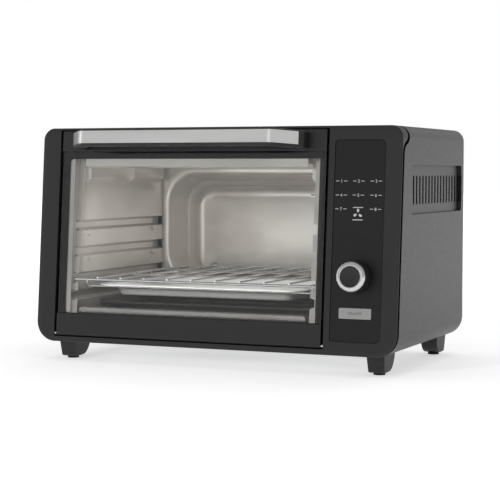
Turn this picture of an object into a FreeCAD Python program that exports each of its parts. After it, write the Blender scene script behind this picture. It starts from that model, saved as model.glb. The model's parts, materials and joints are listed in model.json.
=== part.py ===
import FreeCAD, Part
import math
import os
import Sketcher

# Air fryer toaster oven. X runs to the viewer's right, Y to the rear and Z up, in millimetres.
# The origin is on the table, under the middle of the oven's bounding box.
# Pieces on the leaning front are drawn in the front's own frame: X right, Y into the oven,
# Z up the face, with its zero at the foot of the front plane.

SIZES = {
    # casing
    "body_width": 434.0,
    "body_height": 244.0,
    "cover_depth": 257.8,
    "foot_height": 22.0,
    "lean_angle": 4.78,
    "top_corner_round": 13.5,
    "bottom_corner_round": 23.0,
    "cover_sheet": 1.0,
    "fit_gap": 0.2,
    # seam between bezel and cover
    "seam_depth": 3.3,
    "seam_gap": 1.6,
    "seam_top_depth": 40.0,
    "seam_low_bend": 245.8,
    "seam_high_bend": 251.2,
    "seam_bend_round": 12.5,
    "bezel_wall": 1.6,
    "bezel_plate_back": 24.2,
    "bezel_edge_round": 2.2,
    "tongue_sheet": 1.4,
    "tongue_reach": 5.0,
    # side vents
    "vent_recess": 4.5,
    "vent_front": 53.0,
    "vent_rear": 248.0,
    "vent_low": 171.0,
    "vent_high": 224.0,
    "vent_corner_round": 3.0,
    "slot_first": 72.8,
    "slot_pitch": 11.6,
    "slot_count": 16,
    "slot_width": 5.0,
    "slot_low": 181.0,
    "slot_high": 213.0,
    # bottom and rear of the casing
    "base_opening_half": 176.0,
    "base_margin": 1.0,
    "rear_flange_width": 10.0,
    "rear_inset": 1.0,
    "rear_bulge_depth": 52.2,
    "rear_bulge_gap": 10.0,
    "rear_bulge_round": 14.0,
    "rear_bulge_low": 66.0,
    "rear_bulge_high": 226.0,
    "base_slot_count": 9,
    "base_slot_pitch": 14.0,
    "base_slot_width": 4.0,
    "base_slot_length": 60.0,
    # door opening in the bezel
    "door_left": 193.7,
    "door_right": 135.6,
    "door_hole_low": 6.2,
    "door_hole_high": 242.6,
    "door_hole_round": 2.0,
    # door
    "door_side_gap": 3.0,
    "door_thickness": 8.0,
    "door_low": 7.15,
    "door_high": 241.6,
    "bottom_rail_top": 33.5,
    "top_rail_bottom": 218.1,
    "rail_edge_round": 1.6,
    "glass_depth": 1.5,
    "glass_thickness": 4.0,
    "glass_bite": 6.5,
    "glass_gap": 0.1,
    "hinge_depth": 2.6,
    "hinge_height": 9.75,
    "pin_radius": 1.7,
    "pin_gap": 0.05,
    "pin_in_rail": 8.0,
    "pin_in_bezel": 5.0,
    # handle
    "handle_out": 45.0,
    "handle_bar_depth": 14.0,
    "handle_half_flat": 115.3,
    "handle_half_length": 141.3,
    "handle_bend": 50.0,
    "handle_low": 220.0,
    "handle_high": 238.5,
    "handle_post_depth": 14.0,
    "handle_edge_round": 2.0,
    "trim_half_length": 136.5,
    "trim_low": 223.0,
    "trim_high": 236.8,
    "trim_sheet": 1.2,
    "trim_proud": 0.3,
    "handle_screw_radius": 2.0,
    # black frame behind the door
    "frame_front": 3.0,
    "frame_face": 9.5,
    "frame_back": 11.0,
    "frame_rim": 5.0,
    "frame_low": 4.5,
    "frame_high": 242.0,
    "window_left": 185.5,
    "window_right": 127.2,
    "window_low": 32.9,
    "window_high": 210.5,
    "window_round": 4.0,
    # cooking cavity
    "cavity_centre": -29.0,
    "cavity_half": 143.0,
    "cavity_sheet": 1.0,
    "cavity_rear": 238.0,
    "cavity_low": 50.0,
    "cavity_high": 240.0,
    "groove_depth": 7.0,
    "groove_mouth": 11.6,
    "groove_floor": 6.8,
    "groove_first": 74.8,
    "groove_low": 94.4,
    "groove_mid": 124.4,
    "groove_top": 154.4,
    "joggle_foot": 14.0,
    "joggle_head": 22.0,
    "ledge_depth": 6.0,
    "ledge_low": 202.0,
    "ledge_shoulder": 208.5,
    "baffle_low": 220.5,
    "bulge_half": 134.0,
    "bulge_low": 80.0,
    "bulge_high": 212.8,
    "bulge_depth": 60.0,
    "bulge_round": 22.0,
    "bulge_draw": 26.0,
    "bulge_low_draw": 3.0,
    "step_depth": 28.0,
    "step_draw": 8.0,
    "step_run": 2.0,
    "step_rise": 4.0,
    "bulge_floor_run": 7.0,
    "bulge_floor_rise": 7.5,
    # heating rods
    "rod_radius": 3.25,
    "rod_hole_gap": 0.3,
    "lower_rod_height": 62.5,
    "upper_rod_height": 229.0,
    "rod_front": 75.0,
    "rod_rear": 175.0,
    "insulator_radius": 4.5,
    "insulator_length": 8.0,
    # crumb tray
    "tray_side_height": 6.0,
    "tray_lip_height": 62.0,
    "tray_lip_radius": 1.5,
    "tray_side_gap": 4.0,
    # rack and pan
    "rack_height": 92.8,
    "rack_frame_radius": 1.4,
    "rack_wire_radius": 1.1,
    "rack_front_radius": 1.5,
    "rack_wire_pitch": 29.5,
    "rack_half": 140.0,
    "rack_end_half": 149.3,
    "rack_front": 22.0,
    "rack_cross_front": 120.0,
    "rack_cross_rear": 203.0,
    "rack_shoulder": 262.0,
    "rack_rear": 288.0,
    "wire_bite": 0.3,
    "arch_width": 15.0,
    "arch_rise": 7.0,
    "hanger_drop": 8.5,
    "hanger_radius": 1.2,
    "hanger_front": 36.0,
    "hanger_rear": 200.0,
    "pan_front": 46.0,
    "pan_rear": 190.0,
    "pan_half": 112.0,
    "pan_depth": 12.0,
    "pan_draft": 5.0,
    "pan_flange": 16.0,
    "pan_sheet": 1.0,
    "pan_round": 13.0,
    # control panel
    "panel_left": 142.8,
    "panel_right": 198.65,
    "panel_low": 15.35,
    "panel_high": 229.3,
    "panel_left_round": 3.5,
    "panel_right_round": 5.8,
    "panel_groove": 0.5,
    "panel_face": 0.5,
    "panel_seat": 2.8,
    "panel_back": 4.3,
    "panel_flange": 2.0,
    "window_pane_left": 152.1,
    "window_pane_right": 186.8,
    "window_pane_low": 109.8,
    "window_pane_high": 124.8,
    "window_pane_sheet": 1.4,
    "board_depth": 14.5,
    "board_sheet": 1.6,
    "boss_radius": 3.0,
    # knob
    "knob_centre": 170.7,
    "knob_height": 84.2,
    "knob_radius": 16.4,
    "knob_base_radius": 17.0,
    "knob_reach": 20.8,
    "knob_clear": 0.8,
    "knob_ring_depth": 4.0,
    "knob_ring_inner": 11.85,
    "knob_dish": 2.2,
    "knob_bore_depth": 14.0,
    "shaft_radius": 3.0,
    "encoder_bush_radius": 3.5,
    "encoder_front": 7.5,
    # start button
    "button_left": 152.1,
    "button_right": 188.5,
    "button_low": 39.65,
    "button_high": 51.4,
    "button_round": 1.5,
    "button_proud": 0.6,
    "button_gap": 0.3,
    "button_travel": 1.5,
    "switch_height": 4.0,
    # convection fan
    "fan_y": 130.0,
    "fan_z": 150.0,
    "fan_can_radius": 66.0,
    "fan_can_depth": 25.0,
    "fan_flange": 7.0,
    "impeller_radius": 55.0,
    "impeller_width": 15.0,
    "blade_count": 16,
    "motor_half_width": 30.0,
    "motor_half_height": 26.0,
    "motor_gap": 8.0,
    "motor_length": 32.0,
    "rotor_radius": 12.0,
    "rotor_gap": 0.5,
    "fan_shaft_radius": 2.5,
    "bush_radius": 8.0,
    "bush_length": 4.0,
    "cooling_fan_radius": 32.0,
    "cooling_blade_count": 5,
    # feet
    "foot_centre": 187.7,
    "foot_width": 19.0,
    "foot_length": 28.0,
    "foot_taper": 1.2,
    "foot_heel_round": 12.0,
    "front_foot": 21.0,
    "rear_foot": 223.0,
    "pad_height": 2.5,
    "pad_radius": 6.5,
    "foot_screw_radius": 1.9,
    # electrics
    "power_board_height": 34.0,
    "gland_x": 190.0,
    "gland_z": 50.0,
    "gland_radius": 8.0,
    "gland_bore": 3.6,
    "shield_y": 56.0,
}

doc = FreeCAD.newDocument("toaster_oven")
sheet = doc.addObject("Spreadsheet::Sheet", "Sizes")
for row, (alias, number) in enumerate(SIZES.items(), start=1):
    sheet.set(f"A{row}", str(number))
    sheet.setAlias(f"A{row}", alias)
doc.recompute()


class Size:
    """A length that holds its number now and the formula that ties it to the sheet."""

    def __init__(self, value, text=None):
        self.value = float(value)
        self.text = text if text is not None else f"{value:.12g}"

    def joined(self, sign, other, value):
        return Size(value, f"({self.text} {sign} {other.text})")

    def __add__(self, other):
        other = sized(other)
        return self.joined("+", other, self.value + other.value)

    def __sub__(self, other):
        other = sized(other)
        return self.joined("-", other, self.value - other.value)

    def __mul__(self, other):
        other = sized(other)
        return self.joined("*", other, self.value * other.value)

    def __truediv__(self, other):
        other = sized(other)
        return self.joined("/", other, self.value / other.value)

    def __radd__(self, other):
        return sized(other) + self

    def __rsub__(self, other):
        return sized(other) - self

    def __rmul__(self, other):
        return sized(other) * self

    def __neg__(self):
        return Size(-self.value, f"(0 - {self.text})")


def sized(number):
    return number if isinstance(number, Size) else Size(number)


class SheetSizes:
    """Reads a size from the sheet by its alias."""

    def __getattr__(self, alias):
        return Size(getattr(sheet, alias), f"Sizes.{alias}")


S = SheetSizes()
ZERO = Size(0)


def degrees(name, angle, half=False):
    """Sine, cosine or tangent of an angle of the sheet, or of its half."""
    share = 0.5 if half else 1.0
    turn = math.radians(angle.value * share)
    values = {"sin": math.sin(turn), "cos": math.cos(turn), "tan": math.tan(turn)}
    return Size(values[name], f"{name}({angle.text} * {share} * 1deg)")


SIN = degrees("sin", S.lean_angle)
COS = degrees("cos", S.lean_angle)
TAN = degrees("tan", S.lean_angle)

# Overall places. The front plane stands so that the oven's middle lies over the origin.
TOP = S.foot_height + S.body_height
HALF = S.body_width / 2
REAR = S.cover_depth + S.rear_bulge_depth
HANDLE_FRONT = (S.handle_out + S.trim_proud) * COS - S.trim_low * SIN
FRONT = (HANDLE_FRONT - REAR) / 2


def face_y(height, depth=ZERO):
    """Y of the leaning front plane at a height above the table, moved back by a level depth."""
    return FRONT + (height - S.foot_height) * TAN + depth


def back(distance):
    """Y at a distance behind the foot of the front plane."""
    return FRONT + distance


# Helpers that draw sketches and make features

nodes = []


def bind(thing, path, size):
    thing.setExpression(path, sized(size).text)


def body(label):
    item = doc.addObject("PartDesign::Body", label)
    item.AllowCompound = True
    return item


def node(item, label):
    """Names a finished sub-part. The label is also its file's name."""
    item.Label = label
    nodes.append(item)
    return item


def lean(item, x=ZERO, depth=ZERO, height=ZERO):
    """Stands a body's own frame on the leaning front face."""
    item.Placement = FreeCAD.Placement(
        FreeCAD.Vector(), FreeCAD.Rotation(FreeCAD.Vector(1, 0, 0), -S.lean_angle.value))
    bind(item, "Placement.Base.x", x)
    bind(item, "Placement.Base.y", FRONT + height * SIN + depth * COS)
    bind(item, "Placement.Base.z", S.foot_height + height * COS - depth * SIN)
    return item


def sketch(item, plane, level, depth=None):
    """A sketch on an origin plane at a level along its normal, or at a depth on the leaning face."""
    made = item.newObject("Sketcher::SketchObject", item.Name + "_sketch")
    role = plane + "_Plane"
    support = [part for part in item.Origin.OriginFeatures if part.Role == role][0]
    made.AttachmentSupport = [(support, "")]
    made.MapMode = "FlatFace"
    if depth is not None:
        tilt = FreeCAD.Rotation(FreeCAD.Vector(1, 0, 0), -S.lean_angle.value)
        made.AttachmentOffset = FreeCAD.Placement(FreeCAD.Vector(), tilt)
        bind(made, "AttachmentOffset.Base.y", S.foot_height - depth * SIN)
        level = -(FRONT + depth * COS)
    bind(made, "AttachmentOffset.Base.z", level)
    return made


class Rules:
    """Constraints of one sketch, gathered so that they are solved together."""

    def __init__(self, made):
        self.made = made
        self.rules = []
        self.sizes = []

    def pin(self, geometry, end, x, y):
        for kind, size in (("DistanceX", x), ("DistanceY", y)):
            self.rules.append(Sketcher.Constraint(kind, -1, 1, geometry, end, size.value))
            self.sizes.append(size)

    def radius(self, geometry, size):
        self.rules.append(Sketcher.Constraint("Radius", geometry, size.value))
        self.sizes.append(size)

    def join(self, first, first_end, second, second_end):
        self.rules.append(Sketcher.Constraint("Coincident", first, first_end, second, second_end))
        self.sizes.append(None)

    def add(self):
        start = self.made.ConstraintCount
        self.made.addConstraint(self.rules)
        for number, size in enumerate(self.sizes, start=start):
            if size is not None:
                bind(self.made, f"Constraints[{number}]", size)


def stepped(place, run, amount):
    """A place moved by an amount along one axis, or by nothing across it."""
    return place + amount * round(run)


def corner_stops(points, spots, i, closed):
    """Where a corner's rounding begins and ends, with the point half way along its arc."""
    x, y, radius = spots[i]
    count = len(points)
    if radius.value <= 0 or (not closed and i in (0, count - 1)):
        return [(x, y, None, None)]
    before = (points[i - 1] - points[i]).normalize()
    after = (points[(i + 1) % count] - points[i]).normalize()
    half_turn = before.getAngle(after) / 2
    reach = radius.value / math.tan(half_turn)
    inward = (before + after).normalize()
    middle = points[i] + inward * (radius.value / math.sin(half_turn) - radius.value)
    stops = []
    for way in (before, after):
        if min(abs(way.x), abs(way.y)) < 1e-9 and abs(before.dot(after)) < 1e-9:
            stops.append((stepped(x, way.x, radius), stepped(y, way.y, radius)))
        else:
            spot = points[i] + way * reach
            stops.append((sized(spot.x), sized(spot.y)))
    return [(*stops[0], radius, middle), (*stops[1], None, None)]


def turns_left(start, middle, end):
    """True where three points of a sketch run anticlockwise, as its arcs are stored."""
    return (middle - start).cross(end - middle).z > 0


def outline(made, corners, closed=True):
    """Straight runs between corners; a corner with a third size is rounded by it."""
    spots = [(sized(c[0]), sized(c[1]), sized(c[2]) if len(c) > 2 else ZERO) for c in corners]
    points = [FreeCAD.Vector(x.value, y.value, 0) for x, y, radius in spots]
    stops = []
    for i in range(len(spots)):
        stops.extend(corner_stops(points, spots, i, closed))
    places = [FreeCAD.Vector(stop[0].value, stop[1].value, 0) for stop in stops]
    kept = [i for i in range(len(stops)) if stops[i][2] is not None
            or (places[i] - places[(i + 1) % len(stops)]).Length > 1e-7 or not closed]
    rules = Rules(made)
    first = made.GeometryCount
    curves, pieces = [], []
    for order, i in enumerate(kept):
        if not closed and order == len(kept) - 1:
            break
        k = kept[(order + 1) % len(kept)]
        number = first + len(curves)
        if stops[i][2] is None:
            curves.append(Part.LineSegment(places[i], places[k]))
            pieces.append((number, 1, 2))
            continue
        arc = Part.Arc(places[i], stops[i][3], places[k])
        forward = turns_left(places[i], stops[i][3], places[k])
        curves.append(arc)
        pieces.append((number, 1, 2) if forward else (number, 2, 1))
        rules.radius(number, stops[i][2])
    made.addGeometry(curves, False)
    for order, (geometry, start, end) in enumerate(pieces):
        rules.pin(geometry, start, *stops[kept[order]][:2])
        if closed or order > 0:
            before = pieces[order - 1]
            rules.join(before[0], before[2], geometry, start)
    if not closed:
        rules.pin(pieces[-1][0], pieces[-1][2], *stops[kept[-1]][:2])
    rules.add()


def circle(made, x, y, radius):
    x, y, radius = sized(x), sized(y), sized(radius)
    centre = FreeCAD.Vector(x.value, y.value, 0)
    normal = FreeCAD.Vector(0, 0, 1)
    ring = made.addGeometry(Part.Circle(centre, normal, radius.value), False)
    rules = Rules(made)
    rules.pin(ring, 3, x, y)
    rules.radius(ring, radius)
    rules.add()


def rectangle(x0, x1, y0, y1, radius=ZERO, right_radius=None):
    """Corners of an upright rectangle, with one radius or a left and a right one."""
    right = radius if right_radius is None else right_radius
    return [(x0, y0, radius), (x1, y0, right), (x1, y1, right), (x0, y1, radius)]


def draw(made, shapes):
    """Draws each shape: a list of corners, or a circle as (x, y, radius) in a tuple."""
    for shape in shapes:
        if isinstance(shape, tuple):
            circle(made, *shape)
        else:
            outline(made, shape)


def solid(item, kind, plane, low, high, shapes, leaning=False):
    """Pads or pockets shapes of a plane between two levels of the axis square to it."""
    low, high = sized(low), sized(high)
    adds = kind == "Pad"
    if plane == "XZ":
        start = high if adds else low
        level = -start
    else:
        start = low if adds else high
        level = start
    made = sketch(item, plane, level, start if leaning else None)
    draw(made, shapes)
    feature = item.newObject("PartDesign::" + kind, f"{item.Name}_{kind.lower()}")
    feature.Profile = made
    bind(feature, "Length", high - low)
    return feature


def pad(item, plane, low, high, *shapes, leaning=False):
    return solid(item, "Pad", plane, low, high, shapes, leaning)


def pocket(item, plane, low, high, *shapes, leaning=False):
    return solid(item, "Pocket", plane, low, high, shapes, leaning)


def revolve(item, corners, groove=False):
    """Turns a profile of radius and Y about the body's own Y axis."""
    made = sketch(item, "XY", ZERO)
    outline(made, corners)
    kind = "Groove" if groove else "Revolution"
    feature = item.newObject("PartDesign::" + kind, f"{item.Name}_{kind.lower()}")
    feature.Profile = made
    feature.ReferenceAxis = (made, ["V_Axis"])
    feature.Angle = 360
    return feature


def loft(item, plane, first_level, first, last_level, last, cut=False):
    """A loft between two outlines on levels of one plane."""
    sign = -1 if plane == "XZ" else 1
    start = sketch(item, plane, first_level * sign)
    outline(start, first)
    end = sketch(item, plane, last_level * sign)
    outline(end, last)
    kind = "SubtractiveLoft" if cut else "AdditiveLoft"
    feature = item.newObject("PartDesign::" + kind, f"{item.Name}_loft")
    feature.Profile = start
    feature.Sections = [end]
    return feature


def wire_along(item, plane, level, corners, radius, start_plane, start):
    """A round wire swept along an open route; its first run is square to start_plane."""
    route = sketch(item, plane, level)
    outline(route, corners, closed=False)
    sign = -1 if start_plane == "XZ" else 1
    section = sketch(item, start_plane, sized(start[0]) * sign)
    circle(section, start[1], start[2], radius)
    feature = item.newObject("PartDesign::AdditivePipe", f"{item.Name}_pipe")
    feature.Profile = section
    feature.Spine = (route, [])
    return feature


def repeat(item, feature, made, axis, pitch, count):
    """Repeats a feature in a row along an axis of its sketch."""
    row = item.newObject("PartDesign::LinearPattern", f"{item.Name}_row")
    row.Originals = [feature]
    row.Direction = (made, [axis])
    row.Mode = "Spacing"
    bind(row, "Offset", pitch)
    row.Occurrences = int(count.value)
    item.Tip = row
    return row


def turn_repeat(item, feature, made, axis, count):
    """Repeats a feature all round an axis of its sketch."""
    ring = item.newObject("PartDesign::PolarPattern", f"{item.Name}_ring")
    ring.Originals = [feature]
    ring.Axis = (made, [axis])
    ring.Angle = 360
    ring.Occurrences = int(count.value)
    item.Tip = ring
    return ring


def round_edges(item, radius, test):
    """Rounds the edges of a body's last feature whose ends and middle pass the test."""
    doc.recompute()
    tip = item.Tip
    names = []
    for number, edge in enumerate(tip.Shape.Edges, start=1):
        low, high = edge.ParameterRange
        if all(test(edge.valueAt(low + (high - low) * share)) for share in (0.01, 0.37, 0.99)):
            names.append(f"Edge{number}")
    feature = item.newObject("PartDesign::Fillet", f"{item.Name}_fillet")
    feature.Base = (tip, names)
    bind(feature, "Radius", radius)
    return feature


def near(value, size, slack=0.01):
    return abs(value - sized(size).value) < slack


def at(**places):
    """A test that holds for points at the given x, y or z."""
    return lambda point: all(near(getattr(point, axis), size) for axis, size in places.items())


def on_front(depth=0.0):
    """A test that holds for points of the leaning front plane, or a level depth behind it."""
    return lambda point: near(point.y, face_y(sized(point.z), sized(depth)))


def boolean(kind, label, first, *others):
    """A Part cut, common or fuse of finished shapes."""
    if kind == "Fuse":
        item = doc.addObject("Part::MultiFuse", label)
        item.Shapes = [first, *others]
    else:
        item = doc.addObject("Part::" + kind, label)
        item.Base = first
        item.Tool = others[0]
    return item


def cylinder(label, axis, start, length, radius):
    """A round bar from a start point along an axis."""
    item = doc.addObject("Part::Cylinder", label)
    turns = {"X": (0, 1, 0), "Y": (-1, 0, 0)}
    if axis in turns:
        item.Placement.Rotation = FreeCAD.Rotation(FreeCAD.Vector(*turns[axis]), 90)
    for letter, size in zip("xyz", start):
        bind(item, f"Placement.Base.{letter}", size)
    bind(item, "Height", length)
    bind(item, "Radius", radius)
    return item


# Casing


def casing(inset=ZERO):
    """Corners of the casing's section, drawn in by an inset."""
    low = S.bottom_corner_round - inset
    high = S.top_corner_round - inset
    left, right = -HALF + inset, HALF - inset
    floor, roof = S.foot_height + inset, TOP - inset
    return [(left, floor, low), (right, floor, low), (right, roof, high), (left, roof, high)]


MARGIN = Size(3)
LOW_CUT = S.foot_height - MARGIN
HIGH_CUT = TOP + MARGIN
ACROSS = HALF + MARGIN


def seam_region(shift, front):
    """Side view of what lies before the seam: a leaning line, an S bend and an upright."""
    return [
        (face_y(LOW_CUT, S.seam_depth + shift), LOW_CUT),
        (face_y(S.seam_low_bend, S.seam_depth + shift), S.seam_low_bend, S.seam_bend_round),
        (back(S.seam_top_depth + shift), S.seam_high_bend, S.seam_bend_round),
        (back(S.seam_top_depth + shift), HIGH_CUT),
        (front, HIGH_CUT),
        (front, LOW_CUT),
    ]


def outer_cover():
    """One bent sheet: top, both sides and the flanges under the base."""
    item = body("outer_cover")
    rear = back(S.cover_depth)
    pad(item, "XZ", back(0), rear, casing(), casing(S.cover_sheet))
    pocket(item, "YZ", -ACROSS, ACROSS, seam_region(S.seam_gap / 2, back(-MARGIN)))
    flange_back = rear - S.rear_inset - S.cover_sheet
    pad(item, "XZ", flange_back - S.cover_sheet, flange_back,
        casing(S.cover_sheet / 2), casing(S.rear_flange_width))
    half = S.base_opening_half
    pocket(item, "XY", LOW_CUT, S.foot_height + S.rear_flange_width + 1,
           rectangle(-half, half, back(-MARGIN), rear + MARGIN))
    slot = rectangle(back(S.slot_first) - S.slot_width / 2, back(S.slot_first) + S.slot_width / 2,
                     S.slot_low, S.slot_high, S.slot_width / 2)
    recess = rectangle(back(S.vent_front), back(S.vent_rear), S.vent_low, S.vent_high,
                       S.vent_corner_round)
    sheet_out = S.cover_sheet
    pan = rectangle(back(S.vent_front) - sheet_out, back(S.vent_rear) + sheet_out,
                    S.vent_low - sheet_out, S.vent_high + sheet_out,
                    S.vent_corner_round + sheet_out)
    floor = HALF - S.vent_recess
    pad(item, "YZ", floor - sheet_out, HALF - sheet_out / 2, pan)
    pad(item, "YZ", -HALF + sheet_out / 2, -floor + sheet_out, pan)
    pocket(item, "YZ", floor, ACROSS, recess)
    pocket(item, "YZ", -ACROSS, -floor, recess)
    cut = pocket(item, "YZ", -ACROSS, ACROSS, slot)
    repeat(item, cut, cut.Profile[0], "H_Axis", S.slot_pitch, S.slot_count)
    holes = [(x, y, S.foot_screw_radius + 0.1) for x, y in foot_screw_places()]
    pocket(item, "XY", LOW_CUT, S.foot_height + S.cover_sheet + 1, *holes)
    holes = [(x, z, SCREW_HOLE) for x, z in rear_screw_places()]
    pocket(item, "XZ", flange_back - S.cover_sheet - 1, flange_back + 1, *holes)
    return node(item, "outer_cover")


def base_plate():
    """Bottom sheet on the cover's flanges, with a row of air slots and four board posts."""
    item = body("base_plate")
    low = S.foot_height + S.cover_sheet
    high = low + S.cover_sheet
    edge = HALF - S.bottom_corner_round
    rear = back(S.cover_depth) - S.rear_inset - S.cover_sheet * 2 - S.fit_gap
    pad(item, "XY", low, high, rectangle(-edge, edge, back(S.frame_back + 4), rear, sized(4)))
    first = S.cavity_centre - S.base_slot_pitch * (S.base_slot_count - 1) / 2
    slot = rectangle(first - S.base_slot_width / 2, first + S.base_slot_width / 2,
                     back(S.rod_front + 20), back(S.rod_front + 20) + S.base_slot_length,
                     S.base_slot_width / 2)
    cut = pocket(item, "XY", low - 1, high + 1, slot)
    repeat(item, cut, cut.Profile[0], "H_Axis", S.base_slot_pitch, S.base_slot_count)
    posts = [(x, back(y), sized(3)) for x in (150, 188) for y in (90, 214)]
    pad(item, "XY", high - 0.5, S.power_board_height, *posts)
    holes = [(x, y, S.foot_screw_radius + 0.1) for x, y in foot_screw_places()]
    pocket(item, "XY", low - 1, high + 1, *holes)
    return node(item, "base_plate")


def foot_screw_places():
    middle = S.foot_length / 2
    return [(side * S.foot_centre, back(front) + middle)
            for side in (-1, 1) for front in (S.front_foot, S.rear_foot)]


def rear_cover():
    """Rear sheet with the pressed box that clears the cavity's deep back."""
    item = body("rear_cover")
    inset = S.cover_sheet + S.fit_gap
    plate_back = back(S.cover_depth) - S.rear_inset
    plate_front = plate_back - S.cover_sheet
    pad(item, "XZ", plate_front, plate_back, casing(inset))
    gap = S.rear_bulge_gap
    left = S.cavity_centre - S.bulge_half - gap
    right = S.cavity_centre + S.bulge_half + gap
    outer_back = back(REAR)
    draw_in = S.rear_bulge_gap
    sheet_in = S.cover_sheet

    def box(shrink):
        return rectangle(left + shrink, right - shrink, S.rear_bulge_low + shrink,
                         S.rear_bulge_high - shrink, S.bulge_round)

    loft(item, "XZ", plate_back - 0.5, box(ZERO), outer_back, box(draw_in))
    round_edges(item, S.rear_bulge_round / 2, at(y=outer_back))
    loft(item, "XZ", plate_front, box(sheet_in * 1.5), outer_back - sheet_in * 2,
         box(draw_in + sheet_in * 1.5), cut=True)
    slot_width = S.slot_width
    first = S.cavity_centre - 70
    vent = rectangle(first - slot_width / 2, first + slot_width / 2, 110, 180, slot_width / 2)
    cut = pocket(item, "XZ", outer_back - 4, outer_back + 2, vent)
    repeat(item, cut, cut.Profile[0], "H_Axis", sized(14), sized(11))
    pocket(item, "XZ", plate_front - 1, plate_back + 1, (S.gland_x, S.gland_z, S.gland_radius + 0.1),
           *[(x, z, SCREW_HOLE) for x, z in rear_screw_places()])
    return node(item, "rear_cover")


SCREW_HOLE = Size(1.6)


def rear_screw_places():
    edge = S.cover_sheet + S.rear_flange_width / 2 + 0.5
    across = HALF - edge
    low, high = S.foot_height + 60, TOP - 60
    return [(side * across, z) for side in (-1, 1) for z in (low, high)] + [
        (side * HALF / 2, TOP - edge) for side in (-1, 1)]


SEAT_GAP = Size(0.3)
DEEP_BEHIND = Size(24)


def front_bezel():
    """Moulded front: thin pillars, a deep top lip with the S seam, and a tongue in the cover."""
    item = body("bezel_face")
    seam = S.seam_gap / 2
    rear = back(S.seam_top_depth + MARGIN)
    before = back(-MARGIN * 4)
    pad(item, "XZ", back(-MARGIN), rear, casing())
    wedge = [(face_y(LOW_CUT), LOW_CUT), (face_y(HIGH_CUT), HIGH_CUT), (before, HIGH_CUT), (before, LOW_CUT)]
    pocket(item, "YZ", -ACROSS, ACROSS, wedge)
    pocket(item, "YZ", -ACROSS, ACROSS, seam_region(-seam, back(S.seam_top_depth + MARGIN * 3)))
    pocket(item, "XZ", back(S.bezel_plate_back), rear + MARGIN, casing(S.bezel_wall))
    round_edges(item, S.bezel_edge_round, on_front())
    for side in (-1, 1):
        inner = S.door_right if side > 0 else S.door_left
        boss = rectangle(FRONT + 1, FRONT + 6.5, S.foot_height + 5, S.foot_height + 14.5, sized(1))
        ends = sorted((side * (inner - 1.0), side * (inner + 7.0)), key=lambda size: size.value)
        pad(item, "YZ", *ends, boss)
    hole = rectangle(-S.door_left, S.door_right, S.door_hole_low, S.door_hole_high, S.door_hole_round)
    pocket(item, "XZ", -MARGIN, S.seam_top_depth + MARGIN, hole, leaning=True)
    pocket(item, "XZ", -MARGIN, S.seam_top_depth + MARGIN, panel_outline(S.panel_groove), leaning=True)
    pocket(item, "XZ", S.panel_seat - SEAT_GAP, DEEP_BEHIND, panel_outline(S.panel_flange + SEAT_GAP), leaning=True)
    pocket(item, "XZ", S.frame_front - SEAT_GAP, DEEP_BEHIND, frame_outline(SEAT_GAP), leaning=True)
    bore = (FRONT + S.hinge_depth * COS + S.hinge_height * SIN,
            S.foot_height + S.hinge_height * COS - S.hinge_depth * SIN, S.pin_radius + S.pin_gap)
    pocket(item, "YZ", -S.door_left - S.pin_in_bezel, S.door_right + S.pin_in_bezel, bore)
    tongue = body("bezel_tongue")
    outside = S.cover_sheet + S.fit_gap
    pad(tongue, "XZ", back(0), rear + S.tongue_reach, casing(outside), casing(outside + S.tongue_sheet))
    wedge = [(face_y(LOW_CUT, sized(1)), LOW_CUT), (face_y(HIGH_CUT, sized(1)), HIGH_CUT),
             (before, HIGH_CUT), (before, LOW_CUT)]
    pocket(tongue, "YZ", -ACROSS, ACROSS, wedge)
    far = back(S.seam_top_depth + MARGIN * 6)
    pocket(tongue, "YZ", -ACROSS, ACROSS, seam_region(S.tongue_reach, far))
    return node(boolean("Fuse", "bezel", item, tongue), "front_bezel")


def frame_outline(grow=ZERO):
    rim = S.frame_rim
    return rectangle(-S.door_left - rim - grow, S.door_right + rim * 0.7 + grow, S.frame_low - grow,
                     S.frame_high + grow, sized(6) + grow)


def panel_outline(grow=ZERO):
    left = S.panel_left_round + grow
    right = S.panel_right_round + grow
    return rectangle(S.panel_left - grow, S.panel_right + grow, S.panel_low - grow,
                     S.panel_high + grow, left, right)


# Pieces on the leaning front, drawn in its frame


def door_face_frame():
    """Black frame behind the door: a plate round the window and a rim up to the bezel."""
    item = body("door_face_frame")
    left, right = -S.door_left, S.door_right
    rim = S.frame_rim
    pad(item, "XZ", S.frame_front, S.frame_back, frame_outline())
    recess = rectangle(left, right, S.door_hole_low, S.frame_high + MARGIN)
    pocket(item, "XZ", S.frame_front - 1, S.frame_face, recess)
    window = rectangle(-S.window_left, S.window_right, S.window_low, S.window_high, S.window_round)
    pocket(item, "XZ", S.frame_face - 1, S.frame_back + 1, window)
    for x in (left - rim / 2, right + rim / 2):
        notch = rectangle(x - rim, x + rim, S.frame_low - 1, sized(15.5))
        pocket(item, "XZ", S.frame_front - 1, S.frame_front + 4, notch)
    lean(item)
    return node(item, "door_face_frame")


def panel_window(grow=ZERO):
    return rectangle(S.window_pane_left - grow, S.window_pane_right + grow,
                     S.window_pane_low - grow, S.window_pane_high + grow, sized(1.2))


def button_outline(grow=ZERO):
    return rectangle(S.button_left - grow, S.button_right + grow, S.button_low - grow,
                     S.button_high + grow, S.button_round + grow)


BOARD_LEFT = S.panel_left + 3
BOARD_RIGHT = S.panel_right - 3
BOARD_LOW = S.panel_low + 15
BOARD_HIGH = S.panel_high - 15


def boss_places():
    edge = S.boss_radius + 0.5
    return [(x, z) for x in (BOARD_LEFT + edge, BOARD_RIGHT - edge)
            for z in (BOARD_LOW + edge, BOARD_HIGH - edge)]


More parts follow.
